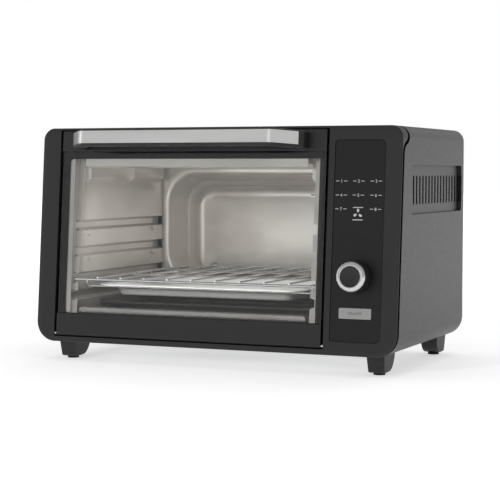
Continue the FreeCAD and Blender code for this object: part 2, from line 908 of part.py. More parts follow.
def control_panel():
    """Inset face with seats for the pane, the knob's bush and the button, on four bosses."""
    item = body("control_panel")
    pad(item, "XZ", S.panel_face, S.panel_back, panel_outline())
    pad(item, "XZ", S.panel_seat, S.panel_back, panel_outline(S.panel_flange))
    bosses = [(x, z, S.boss_radius) for x, z in boss_places()]
    pad(item, "XZ", S.panel_back - 0.5, S.board_depth, *bosses)
    sheet_depth = S.window_pane_sheet + 0.05
    pocket(item, "XZ", S.panel_face - 1, S.panel_face + sheet_depth, panel_window(sized(0.1)))
    pocket(item, "XZ", S.panel_face, S.panel_back + 1, panel_window(sized(-2.5)))
    pocket(item, "XZ", S.panel_face - 1, S.panel_back + 1, button_outline(S.button_gap))
    pocket(item, "XZ", S.panel_face - 1, S.panel_back + 1,
           (S.knob_centre, S.knob_height, S.encoder_bush_radius + S.fit_gap))
    lean(item)
    return node(item, "control_panel")


def display_window():
    item = body("display_window")
    pad(item, "XZ", S.panel_face + 0.05, S.panel_face + S.window_pane_sheet, panel_window())
    lean(item)
    return node(item, "display_window")


def display_module():
    """Display block on the board, just behind the panel's opening."""
    item = body("display_module")
    pad(item, "XZ", S.panel_back + 0.3, S.board_depth, panel_window(sized(-1)))
    lean(item)
    return node(item, "display_module")


def control_board():
    item = body("control_board")
    board = rectangle(BOARD_LEFT, BOARD_RIGHT, BOARD_LOW, BOARD_HIGH, sized(2))
    pad(item, "XZ", S.board_depth, S.board_depth + S.board_sheet, board)
    lean(item)
    return node(item, "control_board")


def rotary_encoder():
    """Square encoder with a threaded bush through the panel and a bore for the shaft."""
    item = body("rotary_encoder")
    x, z = S.knob_centre, S.knob_height
    half = sized(6.5)
    pad(item, "XZ", S.encoder_front, S.board_depth, rectangle(x - half, x + half, z - half, z + half, sized(0.8)))
    pad(item, "XZ", S.panel_face, S.encoder_front + 1, (x, z, S.encoder_bush_radius))
    pocket(item, "XZ", S.panel_face - 1, S.board_depth - 1.5, (x, z, S.shaft_radius + 0.05))
    lean(item)
    return node(item, "rotary_encoder")


def encoder_shaft():
    item = body("encoder_shaft")
    x, z = S.knob_centre, S.knob_height
    pad(item, "XZ", -S.knob_bore_depth + 0.2, S.board_depth - 2, (x, z, S.shaft_radius))
    lean(item)
    return node(item, "encoder_shaft")


def knob():
    """Turned knob: a tapered black body with a dished face, and a bright ring round it."""
    rim = -S.knob_reach
    seat = rim + S.knob_ring_depth
    body_item = body("knob_body")
    inner = S.knob_ring_inner - 0.05
    bore = S.shaft_radius + 0.05
    revolve(body_item, [
        (bore, -S.knob_clear), (S.knob_base_radius, -S.knob_clear), (S.knob_radius, seat),
        (inner, seat), (inner, rim + 0.8), (ZERO, rim + 0.8 + S.knob_dish),
        (ZERO, -S.knob_bore_depth), (bore, -S.knob_bore_depth)])
    lean(body_item, S.knob_centre, ZERO, S.knob_height)
    ring = body("knob_ring")
    revolve(ring, [
        (S.knob_ring_inner, seat - 0.02), (S.knob_radius, seat - 0.02), (S.knob_radius, rim, 1.4),
        (S.knob_ring_inner, rim, 1.0)])
    lean(ring, S.knob_centre, ZERO, S.knob_height)
    return node(body_item, "knob_body"), node(ring, "knob_ring")


def start_button():
    """Wide key with a flange behind the panel and a stem towards its switch."""
    item = body("start_button")
    pad(item, "XZ", S.panel_face - S.button_proud, S.panel_back + S.button_gap, button_outline())
    round_edges(item, sized(0.5), at(y=S.panel_face - S.button_proud))
    flange = button_outline(sized(1.5))
    pad(item, "XZ", S.panel_back + S.button_gap, S.panel_back + S.button_gap + 1.2, flange)
    middle = ((S.button_left + S.button_right) / 2, (S.button_low + S.button_high) / 2)
    stem_end = SWITCH_TIP - S.button_travel - S.button_gap
    pad(item, "XZ", S.panel_back + 1, stem_end, (*middle, sized(2)))
    lean(item)
    return node(item, "start_button")


SWITCH_TIP = S.board_depth - S.switch_height - 0.7


def start_switch():
    item = body("start_switch")
    x = (S.button_left + S.button_right) / 2
    z = (S.button_low + S.button_high) / 2
    pad(item, "XZ", S.board_depth - S.switch_height, S.board_depth, rectangle(x - 3, x + 3, z - 3, z + 3, sized(0.4)))
    pad(item, "XZ", SWITCH_TIP, S.board_depth - 1, (x, z, sized(1.7)))
    lean(item)
    return node(item, "start_switch")


# Door

DOOR_LEFT = -S.door_left + S.door_side_gap
DOOR_RIGHT = S.door_right - S.door_side_gap
DOOR_MIDDLE = (DOOR_LEFT + DOOR_RIGHT) / 2


def glass_slot(low, high):
    gap = S.glass_gap
    return rectangle(S.glass_depth - gap, S.glass_depth + S.glass_thickness + gap, low, high)


def door_bottom_rail():
    """Rail whose lower front edge is rounded about the hinge axis, slotted for the glass."""
    item = body("door_bottom_rail")
    rail = [(ZERO, S.door_low, S.hinge_depth - 0.1), (S.door_thickness, S.door_low, 1.5),
            (S.door_thickness, S.bottom_rail_top, 0.5), (ZERO, S.bottom_rail_top, S.rail_edge_round)]
    pad(item, "YZ", DOOR_LEFT, DOOR_RIGHT, rail)
    slot_low = S.bottom_rail_top - S.glass_bite - S.glass_gap
    pocket(item, "YZ", DOOR_LEFT - 1, DOOR_RIGHT + 1, glass_slot(slot_low, S.bottom_rail_top + 1))
    hole = (S.hinge_depth, S.hinge_height, S.pin_radius + S.pin_gap)
    pocket(item, "YZ", DOOR_LEFT - 1, DOOR_LEFT + S.pin_in_rail, hole)
    pocket(item, "YZ", DOOR_RIGHT - S.pin_in_rail, DOOR_RIGHT + 1, hole)
    lean(item)
    return node(item, "door_bottom_rail")


def door_top_rail():
    item = body("door_top_rail")
    rail = [(ZERO, S.top_rail_bottom, S.rail_edge_round), (S.door_thickness, S.top_rail_bottom, 0.5),
            (S.door_thickness, S.door_high, 1.5), (ZERO, S.door_high, S.rail_edge_round)]
    pad(item, "YZ", DOOR_LEFT, DOOR_RIGHT, rail)
    slot_high = S.top_rail_bottom + S.glass_bite + S.glass_gap
    pocket(item, "YZ", DOOR_LEFT - 1, DOOR_RIGHT + 1, glass_slot(S.top_rail_bottom - 1, slot_high))
    holes = [(x, HANDLE_MIDDLE, S.handle_screw_radius + 0.1) for x in handle_post_places()]
    pocket(item, "XZ", -1, S.door_thickness + 1, *holes)
    lean(item)
    return node(item, "door_top_rail")


def door_glass():
    item = body("door_glass")
    low = S.bottom_rail_top - S.glass_bite
    high = S.top_rail_bottom + S.glass_bite
    pane = rectangle(DOOR_LEFT + 0.3, DOOR_RIGHT - 0.3, low, high, sized(1.5))
    pad(item, "XZ", S.glass_depth, S.glass_depth + S.glass_thickness, pane)
    lean(item)
    return node(item, "door_glass")


def hinge_pins():
    item = body("hinge_pins")
    place = (S.hinge_depth, S.hinge_height, S.pin_radius)
    inside = S.pin_in_rail - 0.2
    outside = S.pin_in_bezel - 0.2
    pad(item, "YZ", -S.door_left - outside, DOOR_LEFT + inside, place)
    pad(item, "YZ", DOOR_RIGHT - inside, S.door_right + outside, place)
    lean(item)
    return node(item, "hinge_pins")


# Handle. Its bar runs level, then both ends bend back by the same angle to the door.

BEND_SIN = degrees("sin", S.handle_bend)
BEND_COS = degrees("cos", S.handle_bend)
BEND_TAN = degrees("tan", S.handle_bend)
BEND_HALF = degrees("tan", S.handle_bend, half=True)
HANDLE_MIDDLE = (S.handle_low + S.handle_high) / 2


def handle_bend_at(grow, side):
    """The bend of the handle's outer face, grown outwards, on the left (-1) or right (1)."""
    return (DOOR_MIDDLE + (S.handle_half_flat + BEND_HALF * grow) * side, -S.handle_out - grow)


def handle_slant_at(half_length, grow, side):
    """A point of the slanting outer face at a half length from the handle's middle."""
    run = half_length - S.handle_half_flat
    return (DOOR_MIDDLE + (half_length + BEND_SIN * grow) * side,
            -S.handle_out + run * BEND_TAN - BEND_COS * grow)


def handle_post_places():
    inset = S.handle_half_length - S.handle_post_depth / 2
    return (DOOR_MIDDLE - inset, DOOR_MIDDLE + inset)


def handle_band(half_length, inner, outer):
    """A band along the handle's outer face between two offsets from it."""
    bend = sized(12)
    return [
        handle_slant_at(half_length, outer, -1), (*handle_bend_at(outer, -1), bend + outer),
        (*handle_bend_at(outer, 1), bend + outer), handle_slant_at(half_length, outer, 1),
        handle_slant_at(half_length, inner, 1), (*handle_bend_at(inner, 1), bend + inner),
        (*handle_bend_at(inner, -1), bend + inner), handle_slant_at(half_length, inner, -1),
    ]


def handle_body():
    """Black bar on two posts, with a shallow seat for the trim."""
    item = body("handle_body")
    full = S.handle_half_length
    post_in = full - S.handle_post_depth
    slant_end = -S.handle_out + (full - S.handle_half_flat) * BEND_TAN
    inner_y = -S.handle_out + S.handle_bar_depth
    shape = []
    for side in (-1, 1):
        half = [
            (DOOR_MIDDLE + post_in * side, ZERO),
            (DOOR_MIDDLE + full * side, ZERO),
            (DOOR_MIDDLE + full * side, slant_end, 5),
            (*handle_bend_at(ZERO, side), 12),
        ]
        inner = [
            (DOOR_MIDDLE + post_in * side, slant_end + 2, 6),
            (DOOR_MIDDLE + (S.handle_half_flat - 6) * side, inner_y, 9),
        ]
        if side < 0:
            shape = inner[::-1] + half
        else:
            shape = shape + half[::-1] + inner
    pad(item, "XY", S.handle_low, S.handle_high, shape)
    level = (S.handle_low.value, S.handle_high.value)
    round_edges(item, S.handle_edge_round,
                lambda point: min(abs(point.z - z) for z in level) < 0.01 and point.y < -0.01)
    seat = handle_band(S.trim_half_length + 0.1, S.trim_proud - S.trim_sheet - 0.02, sized(6))
    pocket(item, "XY", S.trim_low - 0.1, S.trim_high + 0.1, seat)
    holes = [(x, HANDLE_MIDDLE, S.handle_screw_radius - 0.3) for x in handle_post_places()]
    pocket(item, "XZ", -S.handle_post_depth + 4, 1, *holes)
    lean(item)
    return node(item, "handle_body")


def handle_trim():
    """Bright strip bent over the handle's outer face."""
    item = body("handle_trim")
    band = handle_band(S.trim_half_length, S.trim_proud - S.trim_sheet, S.trim_proud)
    pad(item, "XY", S.trim_low, S.trim_high, band)
    lean(item)
    return node(item, "handle_trim")


def handle_screws():
    """Two screws from the back of the top rail into the handle's posts."""
    item = body("handle_screws")
    radius = S.handle_screw_radius
    for x in handle_post_places():
        pad(item, "XZ", ZERO, S.door_thickness + 0.2, (x, HANDLE_MIDDLE, radius))
        pad(item, "XZ", -S.handle_post_depth + 4.2, ZERO, (x, HANDLE_MIDDLE, radius - 0.4))
        pad(item, "XZ", S.door_thickness + 0.05, S.door_thickness + 1.3, (x, HANDLE_MIDDLE, radius * 1.9))
    lean(item)
    return node(item, "handle_screws")



# Cavity

CAVITY_LEFT = S.cavity_centre - S.cavity_half
CAVITY_RIGHT = S.cavity_centre + S.cavity_half
GROOVES = (S.groove_first, S.groove_low, S.groove_mid, S.groove_top)
ROD_HOLE = S.rod_radius + S.rod_hole_gap


def frame_back_y(height):
    """Y of the black frame's rear face at a height above the table."""
    return face_y(height, S.frame_back / COS)


def joggle_y(height):
    """Y where a side wall steps outwards towards the door."""
    share = (height - S.cavity_low) / (S.cavity_high - S.cavity_low)
    return face_y(height, S.joggle_foot + (S.joggle_head - S.joggle_foot) * share)


def groove_ribbon(side):
    """Section of a side wall: a sheet with four grooves pressed outwards for the racks."""
    wall = S.cavity_centre + S.cavity_half * side
    sheet = S.cavity_sheet * side
    deep = S.groove_depth * side
    inner = [(wall, S.cavity_low)]
    for middle in GROOVES:
        mouth, floor = S.groove_mouth / 2, S.groove_floor / 2
        inner += [(wall, middle - mouth, 1), (wall + deep, middle - floor, 1),
                  (wall + deep, middle + floor, 1), (wall, middle + mouth, 1)]
    inner += [(wall, S.cavity_high + S.cavity_sheet)]
    slope = S.cavity_sheet * 0.75
    outer = [(wall + sheet, S.cavity_low)]
    for middle in GROOVES:
        mouth, floor = S.groove_mouth / 2 + slope, S.groove_floor / 2 + slope
        outer += [(wall + sheet, middle - mouth, 1), (wall + deep + sheet, middle - floor, 1),
                  (wall + deep + sheet, middle + floor, 1), (wall + sheet, middle + mouth, 1)]
    outer += [(wall + sheet, S.cavity_high + S.cavity_sheet)]
    return inner + outer[::-1]


def side_wall(label, side):
    """Cavity side: grooves, ledges above, a step outwards and a strip up to the frame."""
    item = body(label)
    wall = S.cavity_centre + S.cavity_half * side
    sheet = S.cavity_sheet
    low, high = S.cavity_low, S.cavity_high + sheet
    pad(item, "XZ", frame_back_y(low), back(S.cavity_rear), groove_ribbon(side))
    outside = ordered(wall - side, wall + (S.groove_depth + sheet * 2) * side)
    before = [(frame_back_y(low) - 2, low - 1), (joggle_y(low - 1), low - 1),
              (joggle_y(high + 1), high + 1), (frame_back_y(low) - 2, high + 1)]
    pocket(item, "YZ", *outside, before)
    strip_wall = wall + S.groove_depth * side
    strip = [(frame_back_y(low), low), (joggle_y(low) + sheet, low),
             (joggle_y(high) + sheet, high), (frame_back_y(high), high)]
    pad(item, "YZ", *ordered(strip_wall, strip_wall + sheet * side), strip)
    step = [(joggle_y(low), low), (joggle_y(low) + sheet, low),
            (joggle_y(high) + sheet, high), (joggle_y(high), high)]
    pad(item, "YZ", *ordered(wall, strip_wall + sheet * side), step)
    for middle in GROOVES:
        half = S.groove_mouth / 2
        mouth = rectangle(*ordered(wall - side, strip_wall), middle - half, middle + half)
        pocket(item, "XZ", frame_back_y(low), joggle_y(middle + half) + sheet, mouth)
    ledge = [(wall + sheet * side, S.ledge_low), (wall - S.ledge_depth * side, S.ledge_shoulder, 2),
             (wall - S.ledge_depth * side, high), (wall + sheet * side, high)]
    pad(item, "XZ", back(42), back(100), ledge)
    pad(item, "XZ", back(149), back(230), ledge)
    for lance_y in (44, 207):
        for middle in (S.groove_mid, S.groove_top):
            top = middle - S.groove_mouth / 2 - 1
            hook = [(back(lance_y) - 3, top), (back(lance_y) - 1.5, top - 3.6, 1.5), (back(lance_y) + 3, top - 5.2),
                    (back(lance_y) + 3, top - 4.2), (back(lance_y) - 0.4, top - 2.8, 1.2), (back(lance_y) - 2, top)]
            pad(item, "YZ", *ordered(wall + sheet * side / 2, wall - 3.2 * side), hook)
    rods = [(back(y), z, ROD_HOLE) for y in (S.rod_front, S.rod_rear)
            for z in (S.lower_rod_height, S.upper_rod_height)]
    through = ordered(wall - (S.ledge_depth + 2) * side, wall + 3 * side)
    pocket(item, "YZ", *through, *rods)
    if side > 0:
        grille(item, wall)
        pocket(item, "YZ", *through, (*SENSOR_PLACE, SENSOR_RADIUS + 0.1))
    return node(item, label)


SENSOR_PLACE = (back(60), sized(190))
SENSOR_RADIUS = sized(2)


def ordered(first, second):
    """Two levels, the lower one first."""
    first, second = sized(first), sized(second)
    return (first, second) if first.value <= second.value else (second, first)


def grille(item, wall):
    """Slots in the fan's wall, between the grooves, that the air goes through."""
    for low, high in ((162, 172), (176, 186)):
        cut = pocket(item, "YZ", wall - 2, wall + 3,
                     rectangle(back(S.fan_y) - 44, back(S.fan_y) - 39, low, high, 2.5))
        repeat(item, cut, cut.Profile[0], "H_Axis", sized(11.1), sized(8))


def cavity_top():
    """Ceiling sheet with a baffle that hangs before the upper rods."""
    item = body("cavity_top")
    sheet = S.cavity_sheet
    left, right = CAVITY_LEFT + S.ledge_depth + 0.1, CAVITY_RIGHT - S.ledge_depth - 0.1
    high = S.cavity_high
    front = frame_back_y(high) + 0.1
    pad(item, "XY", high, high + sheet, rectangle(left, right, front, back(S.cavity_rear)))
    lean_in = [(front, high + sheet), (frame_back_y(S.baffle_low) + 1.5, S.baffle_low + 2, 1),
               (frame_back_y(S.baffle_low) + 4, S.baffle_low), (frame_back_y(S.baffle_low) + 5, S.baffle_low),
               (frame_back_y(S.baffle_low) + 1.5 + sheet, S.baffle_low + 3, 1), (front + sheet, high + sheet)]
    pad(item, "YZ", left, right, lean_in)
    return node(item, "cavity_top")


def cavity_floor():
    item = body("cavity_floor")
    low = S.cavity_low
    pad(item, "XY", low, low + S.cavity_sheet,
        rectangle(CAVITY_LEFT + 0.1, CAVITY_RIGHT - 0.1, frame_back_y(low) + 0.1, back(S.cavity_rear)))
    return node(item, "cavity_floor")


def bulge(grow, draw):
    """Outline of the deep-drawn back, grown by a sheet and drawn in towards its floor."""
    rounding = S.bulge_round + grow - draw / 3
    return rectangle(S.cavity_centre - S.bulge_half - grow + draw, S.cavity_centre + S.bulge_half + grow - draw,
                     S.bulge_low - grow + draw * S.bulge_low_draw / S.bulge_draw, S.bulge_high + grow - draw,
                     rounding)


def cavity_back():
    """Back wall with a deep-drawn box that gives room behind the rack."""
    item = body("cavity_back")
    sheet = S.cavity_sheet
    front = back(S.cavity_rear)
    left, right = CAVITY_LEFT - sheet, CAVITY_RIGHT + sheet
    pad(item, "XZ", front, front + sheet, rectangle(left, right, S.cavity_low, S.cavity_high + sheet, 2))
    stations = [
        (ZERO, ZERO),
        (S.step_depth, S.step_draw),
        (S.step_depth + S.step_run, S.step_draw + S.step_rise),
        (S.bulge_depth - S.bulge_floor_run, S.bulge_draw - S.bulge_floor_rise),
        (S.bulge_depth, S.bulge_draw),
    ]
    for (first, first_draw), (last, last_draw) in zip(stations, stations[1:]):
        start = front + first + (sheet / 2 if first is ZERO else sheet)
        loft(item, "XZ", start, bulge(sheet, first_draw), front + last + sheet, bulge(sheet, last_draw))
    for (first, first_draw), (last, last_draw) in zip(stations, stations[1:]):
        loft(item, "XZ", front + first, bulge(ZERO, first_draw), front + last, bulge(ZERO, last_draw), cut=True)
    return node(item, "cavity_back")


def heating_rods(label, height):
    """Two sheathed rods across the cavity, held at both ends."""
    item = body(label)
    ends = (CAVITY_LEFT - S.insulator_length - 4, CAVITY_RIGHT + S.insulator_length + 4)
    pad(item, "YZ", *ends, (back(S.rod_front), height, S.rod_radius), (back(S.rod_rear), height, S.rod_radius))
    return node(item, label)


def rod_insulators():
    """Ceramic rings round the rods' ends, outside the walls."""
    item = body("rod_insulators")
    gap = S.cavity_sheet
    for wall, side in ((CAVITY_LEFT, -1), (CAVITY_RIGHT, 1)):
        ends = ordered(wall + gap * side, wall + (gap + S.insulator_length) * side)
        for height in (S.lower_rod_height, S.upper_rod_height):
            for y in (S.rod_front, S.rod_rear):
                ring = (back(y), height, S.insulator_radius)
                pad(item, "YZ", *ends, ring, (back(y), height, S.rod_radius + 0.05))
    return node(item, "rod_insulators")


TRAY_FLOOR = S.cavity_low + S.cavity_sheet + 0.2


def crumb_tray():
    """Shallow tray on the cavity's floor with a rolled lip to pull it by."""
    item = body("crumb_tray")
    gap = S.tray_side_gap
    sheet = S.cavity_sheet
    left, right = CAVITY_LEFT + gap, CAVITY_RIGHT - gap
    front = frame_back_y(S.tray_lip_height) + 1.5
    rear = back(S.cavity_rear) - gap
    top = TRAY_FLOOR + S.tray_side_height
    pad(item, "XY", TRAY_FLOOR, top, rectangle(left, right, front, rear, 3))
    pocket(item, "XY", TRAY_FLOOR + sheet, top + 1, rectangle(left + sheet, right - sheet, front + sheet, rear - sheet, 2))
    pad(item, "XZ", front, front + sheet,
        rectangle(left, right, TRAY_FLOOR, S.tray_lip_height - S.tray_lip_radius, 2, 2))
    pad(item, "YZ", left + 2, right - 2,
        (front + S.tray_lip_radius, S.tray_lip_height - S.tray_lip_radius, S.tray_lip_radius))
    return node(item, "crumb_tray")


# Rack and pan

RACK = S.cavity_centre
WIRE_LEVEL = S.rack_height + S.rack_frame_radius + S.rack_wire_radius - S.wire_bite


def wire_rack():
    """Welded rack: a bent frame, cross wires below and nine long wires above."""
    frame = body("rack_frame")
    side = S.rack_half
    shoulder = S.rack_wire_pitch * 4
    tail = S.rack_wire_pitch * 3
    half = [(side, back(S.rack_front)), (side, back(S.rack_cross_rear), 12),
            (shoulder, back(S.rack_shoulder), 12), (tail, back(S.rack_rear), 10)]
    route = [(RACK - x, y, *rest) for x, y, *rest in half]
    route += [(RACK + x, y, *rest) for x, y, *rest in half[::-1]]
    wire_along(frame, "XY", S.rack_height, route, S.rack_frame_radius, "XZ",
               (back(S.rack_front), RACK - side, S.rack_height))
    pieces = [frame]
    for name, y, half_length, radius in (
            ("front", S.rack_front, S.rack_end_half, S.rack_front_radius),
            ("cross_front", S.rack_cross_front, S.rack_half, S.rack_frame_radius),
            ("cross_rear", S.rack_cross_rear, S.rack_end_half, S.rack_frame_radius),
            ("shoulder", S.rack_shoulder - 4, shoulder + 1, S.rack_wire_radius)):
        start = (RACK - half_length, back(y), S.rack_height)
        pieces.append(cylinder("rack_" + name, "X", start, half_length * 2, radius))
    for number in range(-4, 5):
        rear = S.rack_rear if abs(number) < 4 else S.rack_shoulder
        start = (RACK + S.rack_wire_pitch * number, back(S.rack_front) - 0.9, WIRE_LEVEL)
        length = rear - S.rack_front + 0.9
        pieces.append(cylinder(f"rack_wire_{number + 5}", "Y", start, length, S.rack_wire_radius))
    for number in (-3, 2):
        arch = body(f"rack_arch_{number + 4}")
        left = RACK + S.rack_wire_pitch * number + 4
        right = left + S.arch_width
        roof = S.rack_height + S.arch_rise
        wire_along(arch, "XZ", -back(S.rack_shoulder - 4), [
            (left, S.rack_height), (left, roof, 6), (right, roof, 6), (right, S.rack_height)],
            S.rack_wire_radius, "XY", (S.rack_height, left, back(S.rack_shoulder - 4)))
        pieces.append(arch)
    return node(boolean("Fuse", "rack", *pieces), "wire_rack")


HANGER_LOW = S.rack_height - S.hanger_drop


def pan_hangers():
    """Two wire loops under the rack that hold the pan by its rim."""
    item = body("pan_hangers")
    top = S.rack_height - S.rack_frame_radius - 0.05
    for y in (S.hanger_front, S.hanger_rear):
        left, right = RACK - S.rack_half, RACK + S.rack_half
        wire_along(item, "XZ", -back(y), [
            (left, top), (left, HANGER_LOW, 4), (right, HANGER_LOW, 4), (right, top)],
            S.hanger_radius, "XY", (top, left, back(y)))
    return node(item, "pan_hangers")


def pan_outline(grow):
    return rectangle(RACK - S.pan_half - grow, RACK + S.pan_half + grow, back(S.pan_front) - grow,
                     back(S.pan_rear) + grow, S.pan_round + grow / 2)


def baking_pan():
    """Drawn pan with sloping sides and a flat rim that rests on the hangers."""
    item = body("baking_pan")
    rim_low = HANGER_LOW + S.hanger_radius + 0.05
    rim_high = rim_low + S.pan_sheet
    floor = rim_high - S.pan_depth - S.pan_sheet
    pad(item, "XY", rim_low, rim_high, pan_outline(S.pan_flange))
    loft(item, "XY", rim_high - 0.5, pan_outline(ZERO), floor, pan_outline(-S.pan_draft))
    round_edges(item, sized(4), at(z=floor))
    loft(item, "XY", rim_high + 0.01, pan_outline(-S.pan_sheet), floor + S.pan_sheet,
         pan_outline(-S.pan_draft - S.pan_sheet), cut=True)
    return node(item, "baking_pan")


# Convection fan, on the right of the cavity

FAN_FRONT = CAVITY_RIGHT + S.groove_depth + S.cavity_sheet + 0.2
CAN_BACK = FAN_FRONT + S.fan_can_depth
MOTOR_FRONT = CAN_BACK + S.motor_gap
MOTOR_BACK = MOTOR_FRONT + S.motor_length
FAN = (back(S.fan_y), S.fan_z)
BUSH_BORE = S.fan_shaft_radius + 0.05


def fan_housing():
    """Round can with a flange, open towards the cavity."""
    item = body("fan_housing")
    pad(item, "YZ", FAN_FRONT, CAN_BACK, (*FAN, S.fan_can_radius))
    pad(item, "YZ", FAN_FRONT, FAN_FRONT + 1, (*FAN, S.fan_can_radius + S.fan_flange))
    round_edges(item, sized(0.9), at(x=CAN_BACK))
    pocket(item, "YZ", FAN_FRONT - 1, CAN_BACK - 1, (*FAN, S.fan_can_radius - 1))
    pocket(item, "YZ", CAN_BACK - 2, CAN_BACK + 1, (*FAN, sized(6)))
    return node(item, "fan_housing")


def rotor_parts():
    """The wheel, the shaft with the motor's rotor, and the small fan that cools the motor."""
    hub_bore = S.fan_shaft_radius + 0.02
    wheel = body("impeller")
    wheel.Placement.Rotation = FreeCAD.Rotation(FreeCAD.Vector(0, 1, 0), 90)
    place_fan(wheel, CAN_BACK - 8)
    pad(wheel, "XY", 0, 1, (ZERO, ZERO, S.impeller_radius))
    pad(wheel, "XY", -6, 0.5, (ZERO, ZERO, 7))
    made_blade(wheel, S.impeller_radius * 0.62, S.impeller_radius - 1, -S.impeller_width, 0.5, S.blade_count)
    pocket(wheel, "XY", -S.impeller_width - 1, 2, (ZERO, ZERO, hub_bore))
    cooler = body("cooling_fan")
    cooler.Placement.Rotation = FreeCAD.Rotation(FreeCAD.Vector(0, 1, 0), 90)
    place_fan(cooler, MOTOR_BACK + S.bush_length + 2)
    pad(cooler, "XY", 0, 7, (ZERO, ZERO, 7))
    made_blade(cooler, sized(5), S.cooling_fan_radius, sized(2), sized(3.2), S.cooling_blade_count, 16)
    pocket(cooler, "XY", -1, 8, (ZERO, ZERO, hub_bore))
    shaft = body("fan_shaft")
    shaft_start = CAN_BACK - 8 - 6
    shaft_end = MOTOR_BACK + S.bush_length + 10
    pad(shaft, "YZ", shaft_start, shaft_end, (*FAN, S.fan_shaft_radius))
    pad(shaft, "YZ", MOTOR_FRONT + 2, MOTOR_BACK - 2, (*FAN, S.rotor_radius))
    node(wheel, "impeller")
    node(cooler, "cooling_fan")
    node(shaft, "fan_shaft")


def place_fan(item, x):
    bind(item, "Placement.Base.x", x)
    bind(item, "Placement.Base.y", FAN[0])
    bind(item, "Placement.Base.z", FAN[1])


def made_blade(item, inner, outer, low, high, count, width=None):
    """One blade from an inner to an outer radius, repeated round the body's Z axis."""
    half = sized(0.5) if width is None else sized(width) / 2
    made = sketch(item, "XY", low)
    outline(made, rectangle(inner, outer, -half, half))
    blade = item.newObject("PartDesign::Pad", f"{item.Name}_blade")
    blade.Profile = made
    bind(blade, "Length", high - low)
    turn_repeat(item, blade, made, "N_Axis", count)


def fan_motor():
    """Motor stack with a bore for its rotor, and a bush plate at each end."""
    item = body("fan_motor")
    y, z = FAN
    box = rectangle(y - S.motor_half_width, y + S.motor_half_width, z - S.motor_half_height,
                    z + S.motor_half_height, 4)
    pad(item, "YZ", MOTOR_FRONT, MOTOR_BACK, box)
    pocket(item, "YZ", MOTOR_FRONT - 1, MOTOR_BACK + 1, (*FAN, S.rotor_radius + S.rotor_gap))
    bar = rectangle(y - 8, y + 8, z - S.motor_half_height, z + S.motor_half_height, 3)
    for low in (MOTOR_FRONT - 1.5, MOTOR_BACK):
        pad(item, "YZ", low, low + 1.5, bar)
        pocket(item, "YZ", low - 0.5, low + 1.5 + (0.5 if low is MOTOR_BACK else 0), (*FAN, BUSH_SEAT))
    return node(item, "fan_motor")


BUSH_SEAT = sized(4)


def motor_bushes():
    item = body("motor_bushes")
    for low in (MOTOR_FRONT - 1.5 - S.bush_length / 2, MOTOR_BACK - 0.5):
        pad(item, "YZ", low, low + S.bush_length, (*FAN, BUSH_SEAT - 0.05), (*FAN, BUSH_BORE))
    return node(item, "motor_bushes")


def motor_spacers():
    """Posts that hold the motor off the fan's can."""
    item = body("motor_spacers")
    y, z = FAN
    for dy in (-1, 1):
        for dz in (-1, 1):
            place = (y + (S.motor_half_width - 6) * dy, z + (S.motor_half_height - 6) * dz, 3)
            pad(item, "YZ", CAN_BACK, MOTOR_FRONT, place)
    return node(item, "motor_spacers")


# Electrics and small fittings


def heat_shield():
    """Upright sheet between the cavity's side and the electronics behind the panel."""
    item = body("heat_shield")
    low = S.foot_height + S.cover_sheet * 2
    front = back(S.shield_y)
    left = CAVITY_RIGHT + S.groove_depth + 3
    right = HALF - S.vent_recess - 3
    pad(item, "XZ", front, front + 1, rectangle(left, right, low, TOP - 12, 3, 20))
    pad(item, "XY", low, low + 1, rectangle(left + 3, right - 12, front, front + 8))
    return node(item, "heat_shield")


def power_board():
    """Board on four posts with its relay, capacitor and choke."""
    item = body("power_board")
    low = S.power_board_height
    high = low + S.board_sheet
    pad(item, "XY", low, high, rectangle(144, 194, back(84), back(220), 2))
    pad(item, "XY", high - 0.2, high + 16, rectangle(148, 168, back(96), back(124), 1))
    pad(item, "XY", high - 0.2, high + 20, (sized(183), back(112), sized(8)))
    pad(item, "XY", high - 0.2, high + 14, rectangle(150, 176, back(150), back(172), 1))
    return node(item, "power_board")


def terminal_block():
    item = body("terminal_block")
    low = S.power_board_height + S.board_sheet
    pad(item, "XY", low, low + 14, rectangle(148, 188, back(200), back(214), 1))
    slot = rectangle(152, 158, back(200) - 1, back(200) + 5)
    cut = pocket(item, "XY", low + 5, low + 15, slot)
    repeat(item, cut, cut.Profile[0], "H_Axis", sized(13), sized(3))
    return node(item, "terminal_block")


def cord_gland():
    """Bush in the rear sheet that the mains cord comes out of."""
    item = body("cord_gland")
    rear = back(S.cover_depth) - S.rear_inset
    place = (S.gland_x, S.gland_z)
    pad(item, "XZ", rear - 8, rear + 2, (*place, S.gland_radius))
    pad(item, "XZ", rear + 0.05, rear + 4, (*place, S.gland_radius + 2.5))
    pocket(item, "XZ", rear - 9, rear + 5, (*place, S.gland_bore))
    return node(item, "cord_gland")


def thermal_cutout():
    item = body("thermal_cutout")
    top = S.cavity_high + S.cavity_sheet
    place = (S.cavity_centre + 60, back(150))
    pad(item, "XY", top, top + 5, (*place, 8))
    pad(item, "XY", top, top + 1, rectangle(place[0] - 14, place[0] + 14, place[1] - 4, place[1] + 4, 3))
    return node(item, "thermal_cutout")


def temperature_sensor():
    item = body("temperature_sensor")
    pad(item, "YZ", CAVITY_RIGHT - 14, CAVITY_RIGHT + 6, (*SENSOR_PLACE, SENSOR_RADIUS))
    pad(item, "YZ", CAVITY_RIGHT + 1, CAVITY_RIGHT + 5, (*SENSOR_PLACE, 5))
    return node(item, "temperature_sensor")


# Feet and screws


